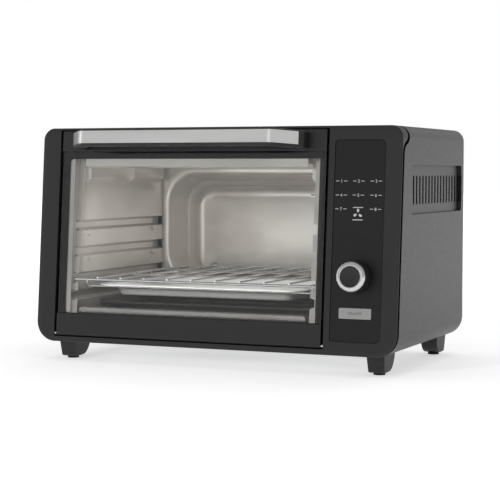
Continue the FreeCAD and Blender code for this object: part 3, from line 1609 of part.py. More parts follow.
def oven_foot(label, side, front):
    """Tapered foot with a round heel and a rounded toe."""
    item = body(label)
    middle = S.foot_centre * side
    half = S.foot_width / 2
    low, high = S.pad_height, S.foot_height
    toe, heel = back(front), back(front) + S.foot_length
    profile = [(toe, low, 2), (heel, low, S.foot_heel_round), (heel, high), (toe, high)]
    pad(item, "YZ", middle - half, middle + half, profile)
    for way in (-1, 1):
        edge = middle + half * way
        wedge = [(edge - S.foot_taper * way, low - 1), (edge + way, low - 1), (edge + way, high)]
        pocket(item, "XZ", toe - 1, heel + 1, wedge + [(edge, high)])
    screw = (middle, toe + S.foot_length / 2, S.foot_screw_radius + 0.05)
    pocket(item, "XY", high - 12, high + 1, screw)
    return node(item, label)


def foot_pads():
    """Rubber discs under the feet."""
    item = body("foot_pads")
    discs = [(x, y, S.pad_radius) for x, y in foot_screw_places()]
    pad(item, "XY", 0, S.pad_height, *discs)
    return node(item, "foot_pads")


def foot_screws():
    item = body("foot_screws")
    floor = S.foot_height + S.cover_sheet * 2
    for x, y in foot_screw_places():
        pad(item, "XY", S.foot_height - 11.5, floor + 0.5, (x, y, S.foot_screw_radius))
        pad(item, "XY", floor, floor + 2.2, (x, y, S.foot_screw_radius * 2))
    return node(item, "foot_screws")


def rear_screws():
    item = body("rear_screws")
    rear = back(S.cover_depth) - S.rear_inset
    for x, z in rear_screw_places():
        pad(item, "XZ", rear - 5, rear + 0.5, (x, z, SCREW_HOLE - 0.1))
        pad(item, "XZ", rear, rear + 2, (x, z, SCREW_HOLE * 2))
    return node(item, "rear_screws")


def finish():
    """Checks every object and writes each sub-part to its file."""
    doc.recompute()
    failed = [f"{thing.Label}: {thing.getStatusString()}" for thing in doc.Objects
              if "Invalid" in thing.State or "Error" in thing.State]
    if failed:
        raise RuntimeError("; ".join(failed))
    os.makedirs("parts", exist_ok=True)
    for item in nodes:
        shape = item.Shape
        if shape.isNull() or not shape.isValid() or not shape.Solids:
            raise RuntimeError(f"{item.Label} has no valid solid")
    for item in nodes:
        item.Shape.exportStep(f"parts/{item.Label}.step")


outer_cover()
base_plate()
rear_cover()
front_bezel()
door_face_frame()
control_panel()
display_window()
display_module()
control_board()
rotary_encoder()
encoder_shaft()
knob()
start_button()
start_switch()
door_bottom_rail()
door_top_rail()
door_glass()
hinge_pins()
handle_body()
handle_trim()
handle_screws()
side_wall("cavity_left_wall", -1)
side_wall("cavity_right_wall", 1)
cavity_top()
cavity_floor()
cavity_back()
heating_rods("upper_heating_rods", S.upper_rod_height)
heating_rods("lower_heating_rods", S.lower_rod_height)
rod_insulators()
crumb_tray()
wire_rack()
pan_hangers()
baking_pan()
fan_housing()
rotor_parts()
fan_motor()
motor_bushes()
motor_spacers()
heat_shield()
power_board()
terminal_block()
cord_gland()
thermal_cutout()
temperature_sensor()
for width_name, side in (("left", -1), ("right", 1)):
    for depth_name, front in (("front", S.front_foot), ("rear", S.rear_foot)):
        oven_foot(f"foot_{depth_name}_{width_name}", side, front)
foot_pads()
foot_screws()
rear_screws()
finish()
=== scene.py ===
import json
import math

import bmesh
import bpy
from mathutils import Matrix, Vector


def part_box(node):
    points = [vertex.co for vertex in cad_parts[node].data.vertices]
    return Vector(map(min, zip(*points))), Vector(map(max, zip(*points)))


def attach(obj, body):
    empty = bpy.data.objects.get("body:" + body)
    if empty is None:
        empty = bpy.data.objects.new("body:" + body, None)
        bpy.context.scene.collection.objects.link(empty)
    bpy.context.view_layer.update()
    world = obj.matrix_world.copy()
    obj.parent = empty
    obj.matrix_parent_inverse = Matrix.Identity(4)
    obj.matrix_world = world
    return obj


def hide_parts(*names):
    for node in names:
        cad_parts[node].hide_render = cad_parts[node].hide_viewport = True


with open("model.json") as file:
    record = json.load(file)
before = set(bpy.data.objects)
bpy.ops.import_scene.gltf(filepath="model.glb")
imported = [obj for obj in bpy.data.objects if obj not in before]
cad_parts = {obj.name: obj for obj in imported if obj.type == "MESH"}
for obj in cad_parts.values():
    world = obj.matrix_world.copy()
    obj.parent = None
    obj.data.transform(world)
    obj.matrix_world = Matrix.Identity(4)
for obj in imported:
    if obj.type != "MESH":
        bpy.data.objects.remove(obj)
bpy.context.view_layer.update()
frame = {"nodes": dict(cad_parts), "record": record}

nodes = frame["nodes"]
MM = 0.001

# Camera, at the photograph's viewing angle

CAMERA_PLACE = Vector((0.7044, -1.65672, 0.2186))
CAMERA_AZIMUTH = math.radians(23.304)
CAMERA_DIP = math.radians(3.012)
CAMERA_ROLL = math.radians(-0.102)
CAMERA_LENS = 110.05
SENSOR_WIDTH = 36.0
LENS_SHIFT = (-0.00038, 0.00072)
CLIP = (0.05, 50.0)


def make_camera():
    data = bpy.data.cameras.new("camera")
    data.lens = CAMERA_LENS
    data.sensor_width = SENSOR_WIDTH
    data.clip_start, data.clip_end = CLIP
    data.shift_x, data.shift_y = LENS_SHIFT
    camera = bpy.data.objects.new("camera", data)
    bpy.context.scene.collection.objects.link(camera)
    ahead = Vector((-math.sin(CAMERA_AZIMUTH) * math.cos(CAMERA_DIP),
                    math.cos(CAMERA_AZIMUTH) * math.cos(CAMERA_DIP), -math.sin(CAMERA_DIP)))
    camera.rotation_mode = "QUATERNION"
    turn = Matrix.Rotation(CAMERA_ROLL, 3, ahead)
    camera.rotation_quaternion = turn.to_quaternion() @ ahead.to_track_quat("-Z", "Y")
    camera.location = CAMERA_PLACE
    bpy.context.scene.camera = camera


# Materials


def linear(level):
    """A grey level or channel of 0 to 255, as the linear value that shaders take."""
    part = level / 255
    return part / 12.92 if part <= 0.04045 else ((part + 0.055) / 1.055) ** 2.4


def grey(level):
    return (linear(level),) * 3 + (1.0,)


def tint(red, green, blue):
    return (linear(red), linear(green), linear(blue), 1.0)


def scaled(colour, factor):
    return tuple(channel * factor for channel in colour[:3]) + (1.0,)


class Finish:
    """One material: a Principled shader whose sockets are set here or fed by patterns."""

    def __init__(self, name, **values):
        self.material = bpy.data.materials.new(name)
        self.material.use_nodes = True
        self.tree = self.material.node_tree
        self.shader = self.tree.nodes["Principled BSDF"]
        self.output = self.tree.nodes["Material Output"]
        self.place = self.add("ShaderNodeTexCoord").outputs["Object"]
        self.height = None
        self.set(**values)

    def set(self, **values):
        for socket, value in values.items():
            self.shader.inputs[socket.replace("_", " ")].default_value = value

    def add(self, kind, **settings):
        made = self.tree.nodes.new(kind)
        for key, value in settings.items():
            setattr(made, key, value)
        return made

    def link(self, source, target):
        self.tree.links.new(source, target)

    def stretched(self, scale):
        """The piece's own coordinates, scaled to draw a pattern out along one way."""
        mapping = self.add("ShaderNodeMapping")
        mapping.inputs["Scale"].default_value = scale
        self.link(self.place, mapping.inputs["Vector"])
        return mapping.outputs["Vector"]

    def noise(self, scale, detail=2.0, roughness=0.5, stretch=None):
        made = self.add("ShaderNodeTexNoise")
        made.inputs["Scale"].default_value = scale
        made.inputs["Detail"].default_value = detail
        made.inputs["Roughness"].default_value = roughness
        self.link(self.stretched(stretch) if stretch else self.place, made.inputs["Vector"])
        return made.outputs["Fac"]

    def between(self, source, low, high, start=0.3, end=0.7):
        made = self.add("ShaderNodeMapRange")
        for socket, value in zip(("From Min", "From Max", "To Min", "To Max"),
                                 (start, end, low, high)):
            made.inputs[socket].default_value = value
        self.link(source, made.inputs["Value"])
        return made.outputs["Result"]

    def colours(self, source, dark, light, start=0.3, end=0.7):
        mix = self.add("ShaderNodeMix", data_type="RGBA")
        self.link(self.between(source, 0.0, 1.0, start, end), mix.inputs["Factor"])
        mix.inputs["A"].default_value = dark
        mix.inputs["B"].default_value = light
        self.link(mix.outputs["Result"], self.shader.inputs["Base Color"])

    def roughness(self, source, low, high, start=0.3, end=0.7):
        self.link(self.between(source, low, high, start, end), self.shader.inputs["Roughness"])

    def bump(self, source, distance, strength=1.0):
        """Adds relief of that depth in metres on top of what the material already has."""
        made = self.add("ShaderNodeBump")
        made.inputs["Distance"].default_value = distance
        made.inputs["Strength"].default_value = strength
        self.link(source, made.inputs["Height"])
        if self.height is not None:
            self.link(self.height, made.inputs["Normal"])
        self.height = made.outputs["Normal"]
        self.link(self.height, self.shader.inputs["Normal"])


GLOSS_SPREAD = 0.03


def paint(name, level, roughness=0.42):
    """Powder coat: a fine orange-peel surface with a slight unevenness of gloss."""
    made = Finish(name, Metallic=0.0, IOR=1.45)
    made.colours(made.noise(700.0, 3.0), scaled(grey(level), 0.97), scaled(grey(level), 1.03))
    made.roughness(made.noise(250.0, 3.0), roughness - GLOSS_SPREAD, roughness + GLOSS_SPREAD)
    made.bump(made.noise(1500.0, 3.0), 0.00002, 0.4)
    return made


def moulded(name, level, roughness=0.5, grain=0.00002, shine=0.5):
    """Moulded plastic with a fine spark-eroded grain."""
    made = Finish(name, Metallic=0.0, IOR=1.46, Specular_IOR_Level=shine)
    made.colours(made.noise(800.0, 3.0), scaled(grey(level), 0.96), scaled(grey(level), 1.04))
    made.roughness(made.noise(300.0, 3.0), roughness - GLOSS_SPREAD, roughness + GLOSS_SPREAD)
    made.bump(made.noise(2200.0, 2.0), grain, 0.4)
    return made


def brushed(name, colour, roughness, stretch, relief=0.00001, smudge=0.04):
    """Metal with fine lines along one way and a faint cloudiness."""
    made = Finish(name, Metallic=1.0)
    lines = made.noise(1.0, 3.0, 0.6, stretch)
    clouds = made.noise(16.0, 3.0)
    made.colours(clouds, scaled(colour, 1 - smudge), scaled(colour, 1 + smudge))
    made.roughness(lines, roughness - 0.06, roughness + 0.07)
    made.bump(lines, relief, 0.6)
    return made


def sheet_steel(name, colour, roughness, metallic=0.62):
    """Bright rolled sheet whose matt grain also scatters light, a little cloudy."""
    made = Finish(name, Metallic=metallic)
    made.colours(made.noise(22.0, 3.0), scaled(colour, 0.94), scaled(colour, 1.05))
    made.roughness(made.noise(30.0, 3.0), roughness - GLOSS_SPREAD, roughness + 0.05)
    made.bump(made.noise(900.0, 3.0), 0.000001, 0.4)
    return made


def polished(name, colour, roughness):
    made = Finish(name, Metallic=1.0)
    made.colours(made.noise(30.0), scaled(colour, 0.97), scaled(colour, 1.03))
    made.roughness(made.noise(400.0, 3.0), roughness * 0.7, roughness * 1.4)
    made.bump(made.noise(300.0, 2.0), 0.000006, 0.4)
    return made


def window_glass(name):
    """Clear toughened glass that lets the light of lamps through."""
    made = Finish(name, Base_Color=(0.93, 0.95, 0.95, 1.0), Transmission_Weight=1.0, IOR=1.45,
                  Roughness=0.0)
    made.bump(made.noise(6.0, 1.0), 0.00001, 0.3)
    clear = made.add("ShaderNodeBsdfTransparent")
    clear.inputs["Color"].default_value = (0.9, 0.92, 0.92, 1.0)
    ray = made.add("ShaderNodeLightPath")
    mix = made.add("ShaderNodeMixShader")
    made.link(ray.outputs["Is Shadow Ray"], mix.inputs[0])
    made.link(made.shader.outputs[0], mix.inputs[1])
    made.link(clear.outputs[0], mix.inputs[2])
    made.link(mix.outputs[0], made.output.inputs["Surface"])
    return made


WARM_STEEL = tint(205, 199, 193)

finishes = {
    # The cover's grey, lighter than the black front plastic, is painted light: it stands for the
    # stronger light on the cover's right side.
    "cover_paint": paint("cover_paint", 50),
    "dark_plastic": moulded("dark_plastic", 34),
    "panel_black": moulded("panel_black", 18, 0.42, 0.00001, 0.4),
    "display_black": moulded("display_black", 10, 0.12, 0.0),
    "zinc_sheet": brushed("zinc_sheet", tint(178, 179, 180), 0.42, (40.0, 40.0, 600.0)),
    "cavity_steel": sheet_steel("cavity_steel", WARM_STEEL, 0.2),
    "bright_wire": polished("bright_wire", tint(222, 224, 226), 0.14),
    "pan_steel": sheet_steel("pan_steel", tint(206, 203, 199), 0.36, 0.3),
    "rod_sheath": brushed("rod_sheath", tint(120, 116, 112), 0.45, (30.0, 900.0, 900.0)),
    "ceramic_white": moulded("ceramic_white", 225, 0.6),
    "trim_silver": brushed("trim_silver", tint(226, 226, 225), 0.34, (14.0, 900.0, 900.0),
                           0.000003, 0.015),
    "ring_chrome": polished("ring_chrome", tint(205, 206, 207), 0.26),
    "button_silver": brushed("button_silver", tint(168, 168, 167), 0.4, (20.0, 1400.0, 1400.0)),
    "board_green": moulded("board_green", 60, 0.5),
    "part_black": moulded("part_black", 30, 0.45),
    "fan_aluminium": brushed("fan_aluminium", tint(205, 206, 207), 0.36, (500.0, 500.0, 40.0)),
    "motor_steel": brushed("motor_steel", tint(120, 121, 122), 0.5, (900.0, 30.0, 30.0)),
    "pad_rubber": moulded("pad_rubber", 26, 0.75, 0.00004),
    "clear_glass": window_glass("clear_glass"),
    # Near-black matt: the door's face frame in its own colour, and painted shade on the faces in
    # the seam's gap.
    "frame_black_and_seam_shade": moulded("frame_black_and_seam_shade", 14, 0.8, 0.00003, 0.1),
    "tray_steel": sheet_steel("tray_steel", tint(150, 146, 142), 0.22, 0.9),
    "print_white": moulded("print_white", 205, 0.55, 0.0),
    "print_dark": moulded("print_dark", 70, 0.55, 0.0),
}
finishes["board_green"].colours(finishes["board_green"].noise(14.0), (0.02, 0.11, 0.05, 1.0),
                                (0.03, 0.14, 0.06, 1.0))
SPECIAL = {"knob_ring": "ring_chrome", "door_face_frame": "frame_black_and_seam_shade",
           "crumb_tray": "tray_steel"}


def dress_nodes():
    """Gives each node the finish of its slot, or its own special one."""
    for part in frame["record"]["subparts"]:
        item = nodes[part["node"]]
        finish = finishes[SPECIAL.get(part["node"], part["material_slot"])]
        if not item.material_slots:
            item.data.materials.append(finish.material)
        for holder in item.material_slots:
            holder.link = "OBJECT"
            holder.material = finish.material


# Places and meshes

LEAN = math.radians(4.78)
FRONT = -0.14172
FACE_FOOT = 0.022


def on_face(x, up, out=0.0):
    """A point at that height up the leaning front, out of it by some depth, in metres."""
    return Vector((x, FRONT + up * math.sin(LEAN) - out * math.cos(LEAN),
                   FACE_FOOT + up * math.cos(LEAN) + out * math.sin(LEAN)))


def place(x, y, z):
    """A point from millimetres behind the foot of the front plane."""
    return Vector((x * MM, FRONT + y * MM, z * MM))


def mesh_of(shape, name):
    mesh = bpy.data.meshes.new(name)
    shape.to_mesh(mesh)
    shape.free()
    return mesh


def bridge(shape, near, far):
    """Faces all round between two closed rings of as many vertices."""
    for i in range(len(near)):
        j = (i + 1) % len(near)
        shape.faces.new((near[i], near[j], far[j], far[i]))


def smooth(mesh):
    mesh.polygons.foreach_set("use_smooth", [True] * len(mesh.polygons))
    return mesh


def arc(centre, radius, start, end, steps):
    """Points on an arc, between two angles in degrees."""
    points = []
    for step in range(steps + 1):
        angle = math.radians(start + (end - start) * step / steps)
        points.append((centre[0] + radius * math.cos(angle), centre[1] + radius * math.sin(angle)))
    return points


def piece(name, mesh, body, finish):
    """A named piece of a body, in its finish."""
    made = bpy.data.objects.new(name, mesh)
    bpy.context.scene.collection.objects.link(made)
    made.data.materials.append(finishes[finish].material)
    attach(made, body)
    return made


# Marks on the control panel and the key

PANEL_DEPTH = 0.0005
PRINT_THICK = 0.00006

MARK_COLUMNS = (150.7, 169.9, 189.4)
MARK_ROWS = (185.8, 170.9, 156.1)
FAN_PLACE = 7
NUMBER_SIZE, NUMBER_HEIGHT = 4.9, 3.5
DASH_START, DASH_END, DASH_HALF = 2.6, 6.4, 0.3

FAN_HEIGHT = 151.2
FAN_BAR_HALF, FAN_BAR_NEAR, FAN_BAR_FAR = 5.6, 6.1, 7.0
PETAL_ANGLES = (80, 200, 320)
PETAL_REACH, PETAL_WIDTH, PETAL_POINTS = 5.2, 1.75, 18
PETAL_MIDDLE, PETAL_FLARE, PETAL_BEND = 0.62, 0.25, 0.12

KEY_CENTRE = (170.3, 45.5)
KEY_OUT = 0.0001
KEY_TEXT_SIZE, KEY_TEXT_HEIGHT = 4.4, 3.1


def plate_from(outlines, thick):
    """A thin plate for each outline of (x, up) points in millimetres, on the panel's face."""
    shape = bmesh.new()
    out = -PANEL_DEPTH
    for outline in outlines:
        low = [shape.verts.new(on_face(x * MM, up * MM, out)) for x, up in outline]
        high = [shape.verts.new(on_face(x * MM, up * MM, out + thick)) for x, up in outline]
        shape.faces.new(high)
        shape.faces.new(low[::-1])
        bridge(shape, low, high)
    bmesh.ops.recalc_face_normals(shape, faces=shape.faces)
    return mesh_of(shape, "marks")


def bar(x0, x1, up0, up1):
    return [(x0, up0), (x1, up0), (x1, up1), (x0, up1)]


def petal(x, up, turn):
    """One petal of the fan's sign, from near its middle outwards."""
    outline = []
    for step in range(PETAL_POINTS):
        angle = 2 * math.pi * step / PETAL_POINTS
        swing = math.cos(angle)
        along = PETAL_REACH * (PETAL_MIDDLE + (1 - PETAL_MIDDLE) * swing)
        across = PETAL_WIDTH * math.sin(angle) * (1 - PETAL_FLARE + PETAL_FLARE * swing)
        across += along * PETAL_BEND
        outline.append((x + along * math.cos(turn) - across * math.sin(turn),
                        up + along * math.sin(turn) + across * math.cos(turn)))
    return outline


def printed(words, x, up, size, height, out):
    """Plain lettering as a thin mesh on the leaning face, centred at a place on it."""
    text = bpy.data.curves.new(f"print_{words}", "FONT")
    text.body = words
    text.size = size * MM
    text.align_x = "CENTER"
    text.extrude = PRINT_THICK / 2
    text.resolution_u = 3
    holder = bpy.data.objects.new(f"print_{words}", text)
    bpy.context.scene.collection.objects.link(holder)
    bpy.context.view_layer.update()
    mesh = bpy.data.meshes.new_from_object(holder)
    bpy.data.objects.remove(holder)
    turn = Matrix.Rotation(math.radians(90) - LEAN, 4, "X")
    base = on_face(x * MM, (up - height / 2) * MM, out + PRINT_THICK / 2)
    mesh.transform(Matrix.Translation(base) @ turn)
    return mesh


def joined(meshes):
    shape = bmesh.new()
    for mesh in meshes:
        shape.from_mesh(mesh)
    return mesh_of(shape, "joined")


def panel_marks():
    """Eight numbered programme marks and the fan's sign between two bars."""
    places = [(x, up) for up in MARK_ROWS for x in MARK_COLUMNS]
    x = places.pop(FAN_PLACE)[0]
    meshes = [printed(str(number + 1), *spot, NUMBER_SIZE, NUMBER_HEIGHT, -PANEL_DEPTH)
              for number, spot in enumerate(places)]
    outlines = []
    for middle, up in places:
        for side in (-1, 1):
            ends = sorted((middle + side * DASH_START, middle + side * DASH_END))
            outlines.append(bar(*ends, up - DASH_HALF, up + DASH_HALF))
    for side in (1, -1):
        ends = sorted((FAN_HEIGHT + side * FAN_BAR_NEAR, FAN_HEIGHT + side * FAN_BAR_FAR))
        outlines.append(bar(x - FAN_BAR_HALF, x + FAN_BAR_HALF, *ends))
    outlines += [petal(x, FAN_HEIGHT, math.radians(angle)) for angle in PETAL_ANGLES]
    meshes.append(plate_from(outlines, PRINT_THICK))
    piece("panel_marks", joined(meshes), "casing", "print_white")


def button_mark():
    """ON/OFF in small dark print on the key."""
    mesh = printed("ON/OFF", *KEY_CENTRE, KEY_TEXT_SIZE, KEY_TEXT_HEIGHT, KEY_OUT)
    piece("button_mark", mesh, "start_key", "print_dark")


# Knob, turned about its own axis

KNOB_CENTRE = (170.7, 84.2)
RING_SEAT = 16.8
RING_OUTER, RING_INNER = 16.2, 11.2
RING_CREST, RING_ROUND, RING_CHAMFER = 20.8, 0.5, 0.3
DOME_CENTRE, DOME_RADIUS = (12.4, 16.9), 3.9
DISH_EDGE, DISH_LIP, DISH_RADIUS = 11.6, 20.0, 27.0
DISH_STEPS = 12
KNOB_SIDE = ((16.35, RING_SEAT), (16.4, RING_SEAT - 0.2), (16.95, 1.6), (16.9, 1.0),
             (16.4, 0.8), (3.05, 0.8))


def turned(profile, steps=128):
    """A surface of revolution about the knob's axis, from (radius, out) in millimetres."""
    shape = bmesh.new()
    rings = []
    for step in range(steps):
        turn = 2 * math.pi * step / steps
        rings.append([shape.verts.new(on_face((KNOB_CENTRE[0] + r * math.cos(turn)) * MM,
                                              (KNOB_CENTRE[1] + r * math.sin(turn)) * MM,
                                              out * MM))
                      for r, out in profile])
    for step in range(steps):
        here, there = rings[step], rings[(step + 1) % steps]
        for i in range(len(profile) - 1):
            shape.faces.new((here[i], there[i], there[i + 1], here[i + 1]))
    bmesh.ops.remove_doubles(shape, verts=shape.verts, dist=1e-7)
    bmesh.ops.recalc_face_normals(shape, faces=shape.faces)
    return smooth(mesh_of(shape, "turned"))


def dish_drop(r):
    """How far the knob's hollow face rises from its middle at a radius."""
    return DISH_RADIUS - math.sqrt(DISH_RADIUS ** 2 - r ** 2)


def knob_pieces():
    """Black knob with a hollow face, and the domed bright ring round it."""
    ring = [(RING_INNER, RING_SEAT), (RING_OUTER - RING_CHAMFER, RING_SEAT),
            (RING_OUTER, RING_SEAT + RING_CHAMFER)]
    ring += [(r, out) for r, out in arc(DOME_CENTRE, DOME_RADIUS, 0, 90, 14) if r < RING_OUTER]
    ring += arc((RING_INNER + RING_ROUND, RING_CREST - RING_ROUND), RING_ROUND, 90, 180, 5)
    ring += [(RING_INNER, RING_SEAT)]
    made = piece("knob_ring_domed", turned(ring), "knob", "ring_chrome")
    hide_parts("knob_ring")
    radii = [DISH_EDGE * step / DISH_STEPS for step in range(DISH_STEPS + 1)]
    shell = [(r, DISH_LIP - dish_drop(DISH_EDGE) + dish_drop(r)) for r in radii]
    shell += [(DISH_EDGE, RING_SEAT), *KNOB_SIDE]
    made = piece("knob_body_turned", turned(shell), "knob", "dark_plastic")
    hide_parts("knob_body")


# Cavity back, a deep-drawn sheet with a soft lip, a step in its wall and a flat inner face

BACK_Y = 238.0
BACK_EDGE = (-172.85, 114.85, 50.0, 241.0)
DRAWN = (-163.0, 105.0, 80.0, 212.8)
RIM_RADIUS, FOOT_RADIUS, FACE_RADIUS = 38.0, 30.0, 10.0
LOW_SHARE = 3.0 / 23.2
LIP, FOOT, FOOT_DRAW, DEEP = 4.5, 10.0, 13.2, 60.0
TOP_DRAW_FROM, TOP_DRAW_SHARE = 11.0, 0.28
WALL_STATIONS = ((8, 0.7), (15, 2.3), (24, 4.4), (32, 6.2), (35.5, 7.0), (37, 7.6), (38.4, 8.8),
                 (39.6, 10.4), (40.8, 11.5), (42.5, 12.2), (46, 12.8))
PAST_EDGE = 90
FACE_CROWN = 1.4
FACE_SHARES = (0.93, 0.8, 0.62, 0.4, 0.15)
BACK_SHEET = 0.8


def ring_points(x0, x1, z0, z1, radius, turns=10, runs=(26, 14)):
    """Points round an upright rounded rectangle, each with the way out of it."""
    corners = ((x1 - radius, z1 - radius, 0), (x0 + radius, z1 - radius, 90),
               (x0 + radius, z0 + radius, 180), (x1 - radius, z0 + radius, 270))
    points = []
    for number, (x, z, start) in enumerate(corners):
        for step in range(turns + 1):
            angle = math.radians(start + 90 * step / turns)
            way = (math.cos(angle), math.sin(angle))
            points.append((x + radius * way[0], z + radius * way[1], way))
        after = corners[(number + 1) % 4]
        square = math.radians(start + 90)
        way = (round(math.cos(square)), round(math.sin(square)))
        first = (x + radius * way[0], z + radius * way[1])
        last = (after[0] + radius * way[0], after[1] + radius * way[1])
        count = runs[number % 2]
        for step in range(1, count):
            share = step / count
            points.append((first[0] + (last[0] - first[0]) * share,
                           first[1] + (last[1] - first[1]) * share, way))
    return points


def drawn_stations():
    """Depth and inward draw down the pressed wall, from the flat sheet to the inner face."""
    stations = [(LIP - LIP * math.cos(math.radians(a)), -LIP + LIP * math.sin(math.radians(a)))
                for a in range(0, 81, 16)]
    stations += WALL_STATIONS
    for a in range(0, 91, 15):
        angle = math.radians(a)
        stations.append((DEEP - FOOT + FOOT * math.sin(angle),
                         FOOT_DRAW + FOOT - FOOT * math.cos(angle)))
    return stations


def drawn_ring(draw):
    """The pressed outline at one inward draw: the top draws in most and the bottom least."""
    x0, x1, z0, z1 = DRAWN
    top = draw + max(0.0, draw - TOP_DRAW_FROM) * TOP_DRAW_SHARE
    low = draw * LOW_SHARE if draw > 0 else draw
    if draw < FOOT_DRAW:
        radius = RIM_RADIUS + (FOOT_RADIUS - RIM_RADIUS) * draw / FOOT_DRAW
    else:
        radius = FOOT_RADIUS + (FACE_RADIUS - FOOT_RADIUS) * (draw - FOOT_DRAW) / FOOT
    return ring_points(x0 + draw, x1 - draw, z0 + low, z1 - top, radius)


def face_rings(edge):
    """Rings on the slightly crowned inner face, from its edge towards its middle."""
    x0, x1, z0, z1 = DRAWN
    middle = Vector(((x0 + x1) / 2 * MM, 0.0, (z0 + z1) / 2 * MM))
    rings = []
    for share in FACE_SHARES:
        bulge = FACE_CROWN * (1 - share ** 2)
        ring = []
        for spot in edge:
            moved = middle + (Vector((spot.x, 0.0, spot.z)) - middle) * share
            ring.append((moved.x, spot.y - bulge * MM, moved.z))
        rings.append(ring)
    return rings


def cavity_back_pressed():
    """The back sheet of the cavity, with its drawn box."""
    left, right, low, high = BACK_EDGE
    routes = [[place(min(max(x + way[0] * PAST_EDGE, left), right), BACK_Y,
                     min(max(z + way[1] * PAST_EDGE, low), high))
               for x, z, way in drawn_ring(0.0)]]
    for depth, draw in drawn_stations():
        routes.append([place(x, BACK_Y + depth, z) for x, z, way in drawn_ring(draw)])
    shape = bmesh.new()
    rings = [[shape.verts.new(point) for point in route] for route in routes]
    edge = [vert.co.copy() for vert in rings[-1]]
    rings += [[shape.verts.new(point) for point in route] for route in face_rings(edge)]
    for near, far in zip(rings, rings[1:]):
        bridge(shape, near, far)
    shape.faces.new(rings[-1])
    bmesh.ops.recalc_face_normals(shape, faces=shape.faces)
    bmesh.ops.solidify(shape, geom=shape.faces[:], thickness=BACK_SHEET * MM)
    mesh = smooth(mesh_of(shape, "cavity_back"))
    made = piece("cavity_back_pressed", mesh, "casing", "cavity_steel")
    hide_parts("cavity_back")


# Front shell and cover, with the shell's crowned edge and the seam's gap, whose faces are painted
# black as shade

CASE_HALF, CASE_LOW, CASE_HIGH = 217.0, 22.0, 266.0
TOP_ROUND, BOTTOM_ROUND = 13.5, 23.0
SEAM_DEPTH, SEAM_TOP_DEPTH, SEAM_BEND = 3.3, 40.0, 12.5
SEAM_LOW, SEAM_HIGH = 245.8, 251.2
SEAM_OPEN = 5.0
CROWN_RUN, CROWN_DROP, CROWN_EDGE = 7.0, 0.8, 1.2
CROWN_INSETS = (0.0, 0.1, 0.35, 0.75, 1.2, 2.0, 3.0, 4.2, 5.6, 7.0)
SHELL_PAST, SHELL_BEHIND, SHELL_START = 3.0, 80.0, 4.0
TONGUE_INSET = 0.6
ON_CUT = 0.1
SHARP_ANGLE = math.radians(32)
FLAT_ANGLES = (math.radians(0.2), math.radians(4))
WELD = 0.002


def face_depth(z):
    """How far the leaning face has moved back at a height, in millimetres."""
    return (z - CASE_LOW) * math.tan(LEAN)


def case_outline(inset, turns=12):
    """Upright outline of the casing, moved in from its outer skin."""
    points = []
    for side, up, start in ((1, 1, 0), (-1, 1, 90), (-1, -1, 180), (1, -1, 270)):
        full = TOP_ROUND if up > 0 else BOTTOM_ROUND
        x = side * (CASE_HALF - full)
        z = CASE_HIGH - full if up > 0 else CASE_LOW + full
        points += arc((x, z), full - inset, start, start + 90, turns)
    return points


def softened(points, steps=8):
    """A polyline whose points with a third value, a bend's radius, are rounded off."""
    made = []
    for i, point in enumerate(points):
        if len(point) < 3:
            made.append(Vector(point))
            continue
        here = Vector(point[:2])
        before = (Vector(points[i - 1][:2]) - here).normalized()
        after = (Vector(points[i + 1][:2]) - here).normalized()
        reach = point[2] / math.tan(before.angle(after) / 2)
        for step in range(steps + 1):
            share = step / steps
            made.append(here + before * reach * (1 - share) ** 2 + after * reach * share ** 2)
    return made


def loft(rings):
    """A closed mesh through rings of as many points each, with flat ends."""
    shape = bmesh.new()
    rows = [[shape.verts.new(point) for point in ring] for ring in rings]
    for near, far in zip(rows, rows[1:]):
        bridge(shape, near, far)
    shape.faces.new(rows[0])
    shape.faces.new(rows[-1][::-1])
    bmesh.ops.recalc_face_normals(shape, faces=shape.faces)
    return mesh_of(shape, "loft")


def shaded(mesh, flats=False):
    """Smooth but at sharp edges, and if asked also where flat sheet meets a slight slope."""
    smooth(mesh)
    shape = bmesh.new()
    shape.from_mesh(mesh)
    for edge in shape.edges:
        angle = edge.calc_face_angle(0.0)
        slight = flats and FLAT_ANGLES[0] < angle < FLAT_ANGLES[1]
        edge.smooth = angle < SHARP_ANGLE and not slight
    shape.to_mesh(mesh)
    shape.free()
    return mesh


def darkened(mesh, test):
    """Paints the faces that lie in the seam's gap a matt black, as painted shade."""
    mesh.materials.append(finishes["frame_black_and_seam_shade"].material)
    for face in mesh.polygons:
        x, y, z = (value / MM for value in face.center)
        if test(x, y - FRONT / MM, z):
            face.material_index = 1


def inset_at(x, z):
    """How far inside the casing's outline a point is, in millimetres."""
    low = z < (CASE_LOW + CASE_HIGH) / 2
    full = BOTTOM_ROUND if low else TOP_ROUND
    across = abs(x) - (CASE_HALF - full)
    up = (CASE_LOW + full - z) if low else (z - CASE_HIGH + full)
    if across > 0 and up > 0:
        return full - math.hypot(across, up)
    return full - max(across, up)


def carved(node, tool, operation):
    """A copy of a node's solid, cut by another closed mesh."""
    shape = bmesh.new()
    shape.from_mesh(nodes[node].data)
    bmesh.ops.remove_doubles(shape, verts=shape.verts, dist=WELD * MM)
    solid = mesh_of(shape, node + "_copy")
    holders = [bpy.data.objects.new(mesh.name, mesh) for mesh in (solid, tool)]
    for holder in holders:
        bpy.context.scene.collection.objects.link(holder)
    cut = holders[0].modifiers.new("cut", "BOOLEAN")
    cut.operation = operation
    cut.solver = "EXACT"
    cut.object = holders[1]
    graph = bpy.context.evaluated_depsgraph_get()
    mesh = bpy.data.meshes.new_from_object(holders[0].evaluated_get(graph))
    for holder in holders:
        bpy.data.objects.remove(holder)
    mesh.materials.clear()
    return mesh


def crown_drop(inset):
    """How far the front shell falls back near its edge."""
    if inset >= CROWN_RUN:
        return 0.0
    slope = CROWN_DROP * (1 - inset / CROWN_RUN) ** 2
    if inset >= CROWN_EDGE:
        return slope
    return slope + CROWN_EDGE - math.sqrt(CROWN_EDGE ** 2 - (CROWN_EDGE - max(inset, 0.0)) ** 2)


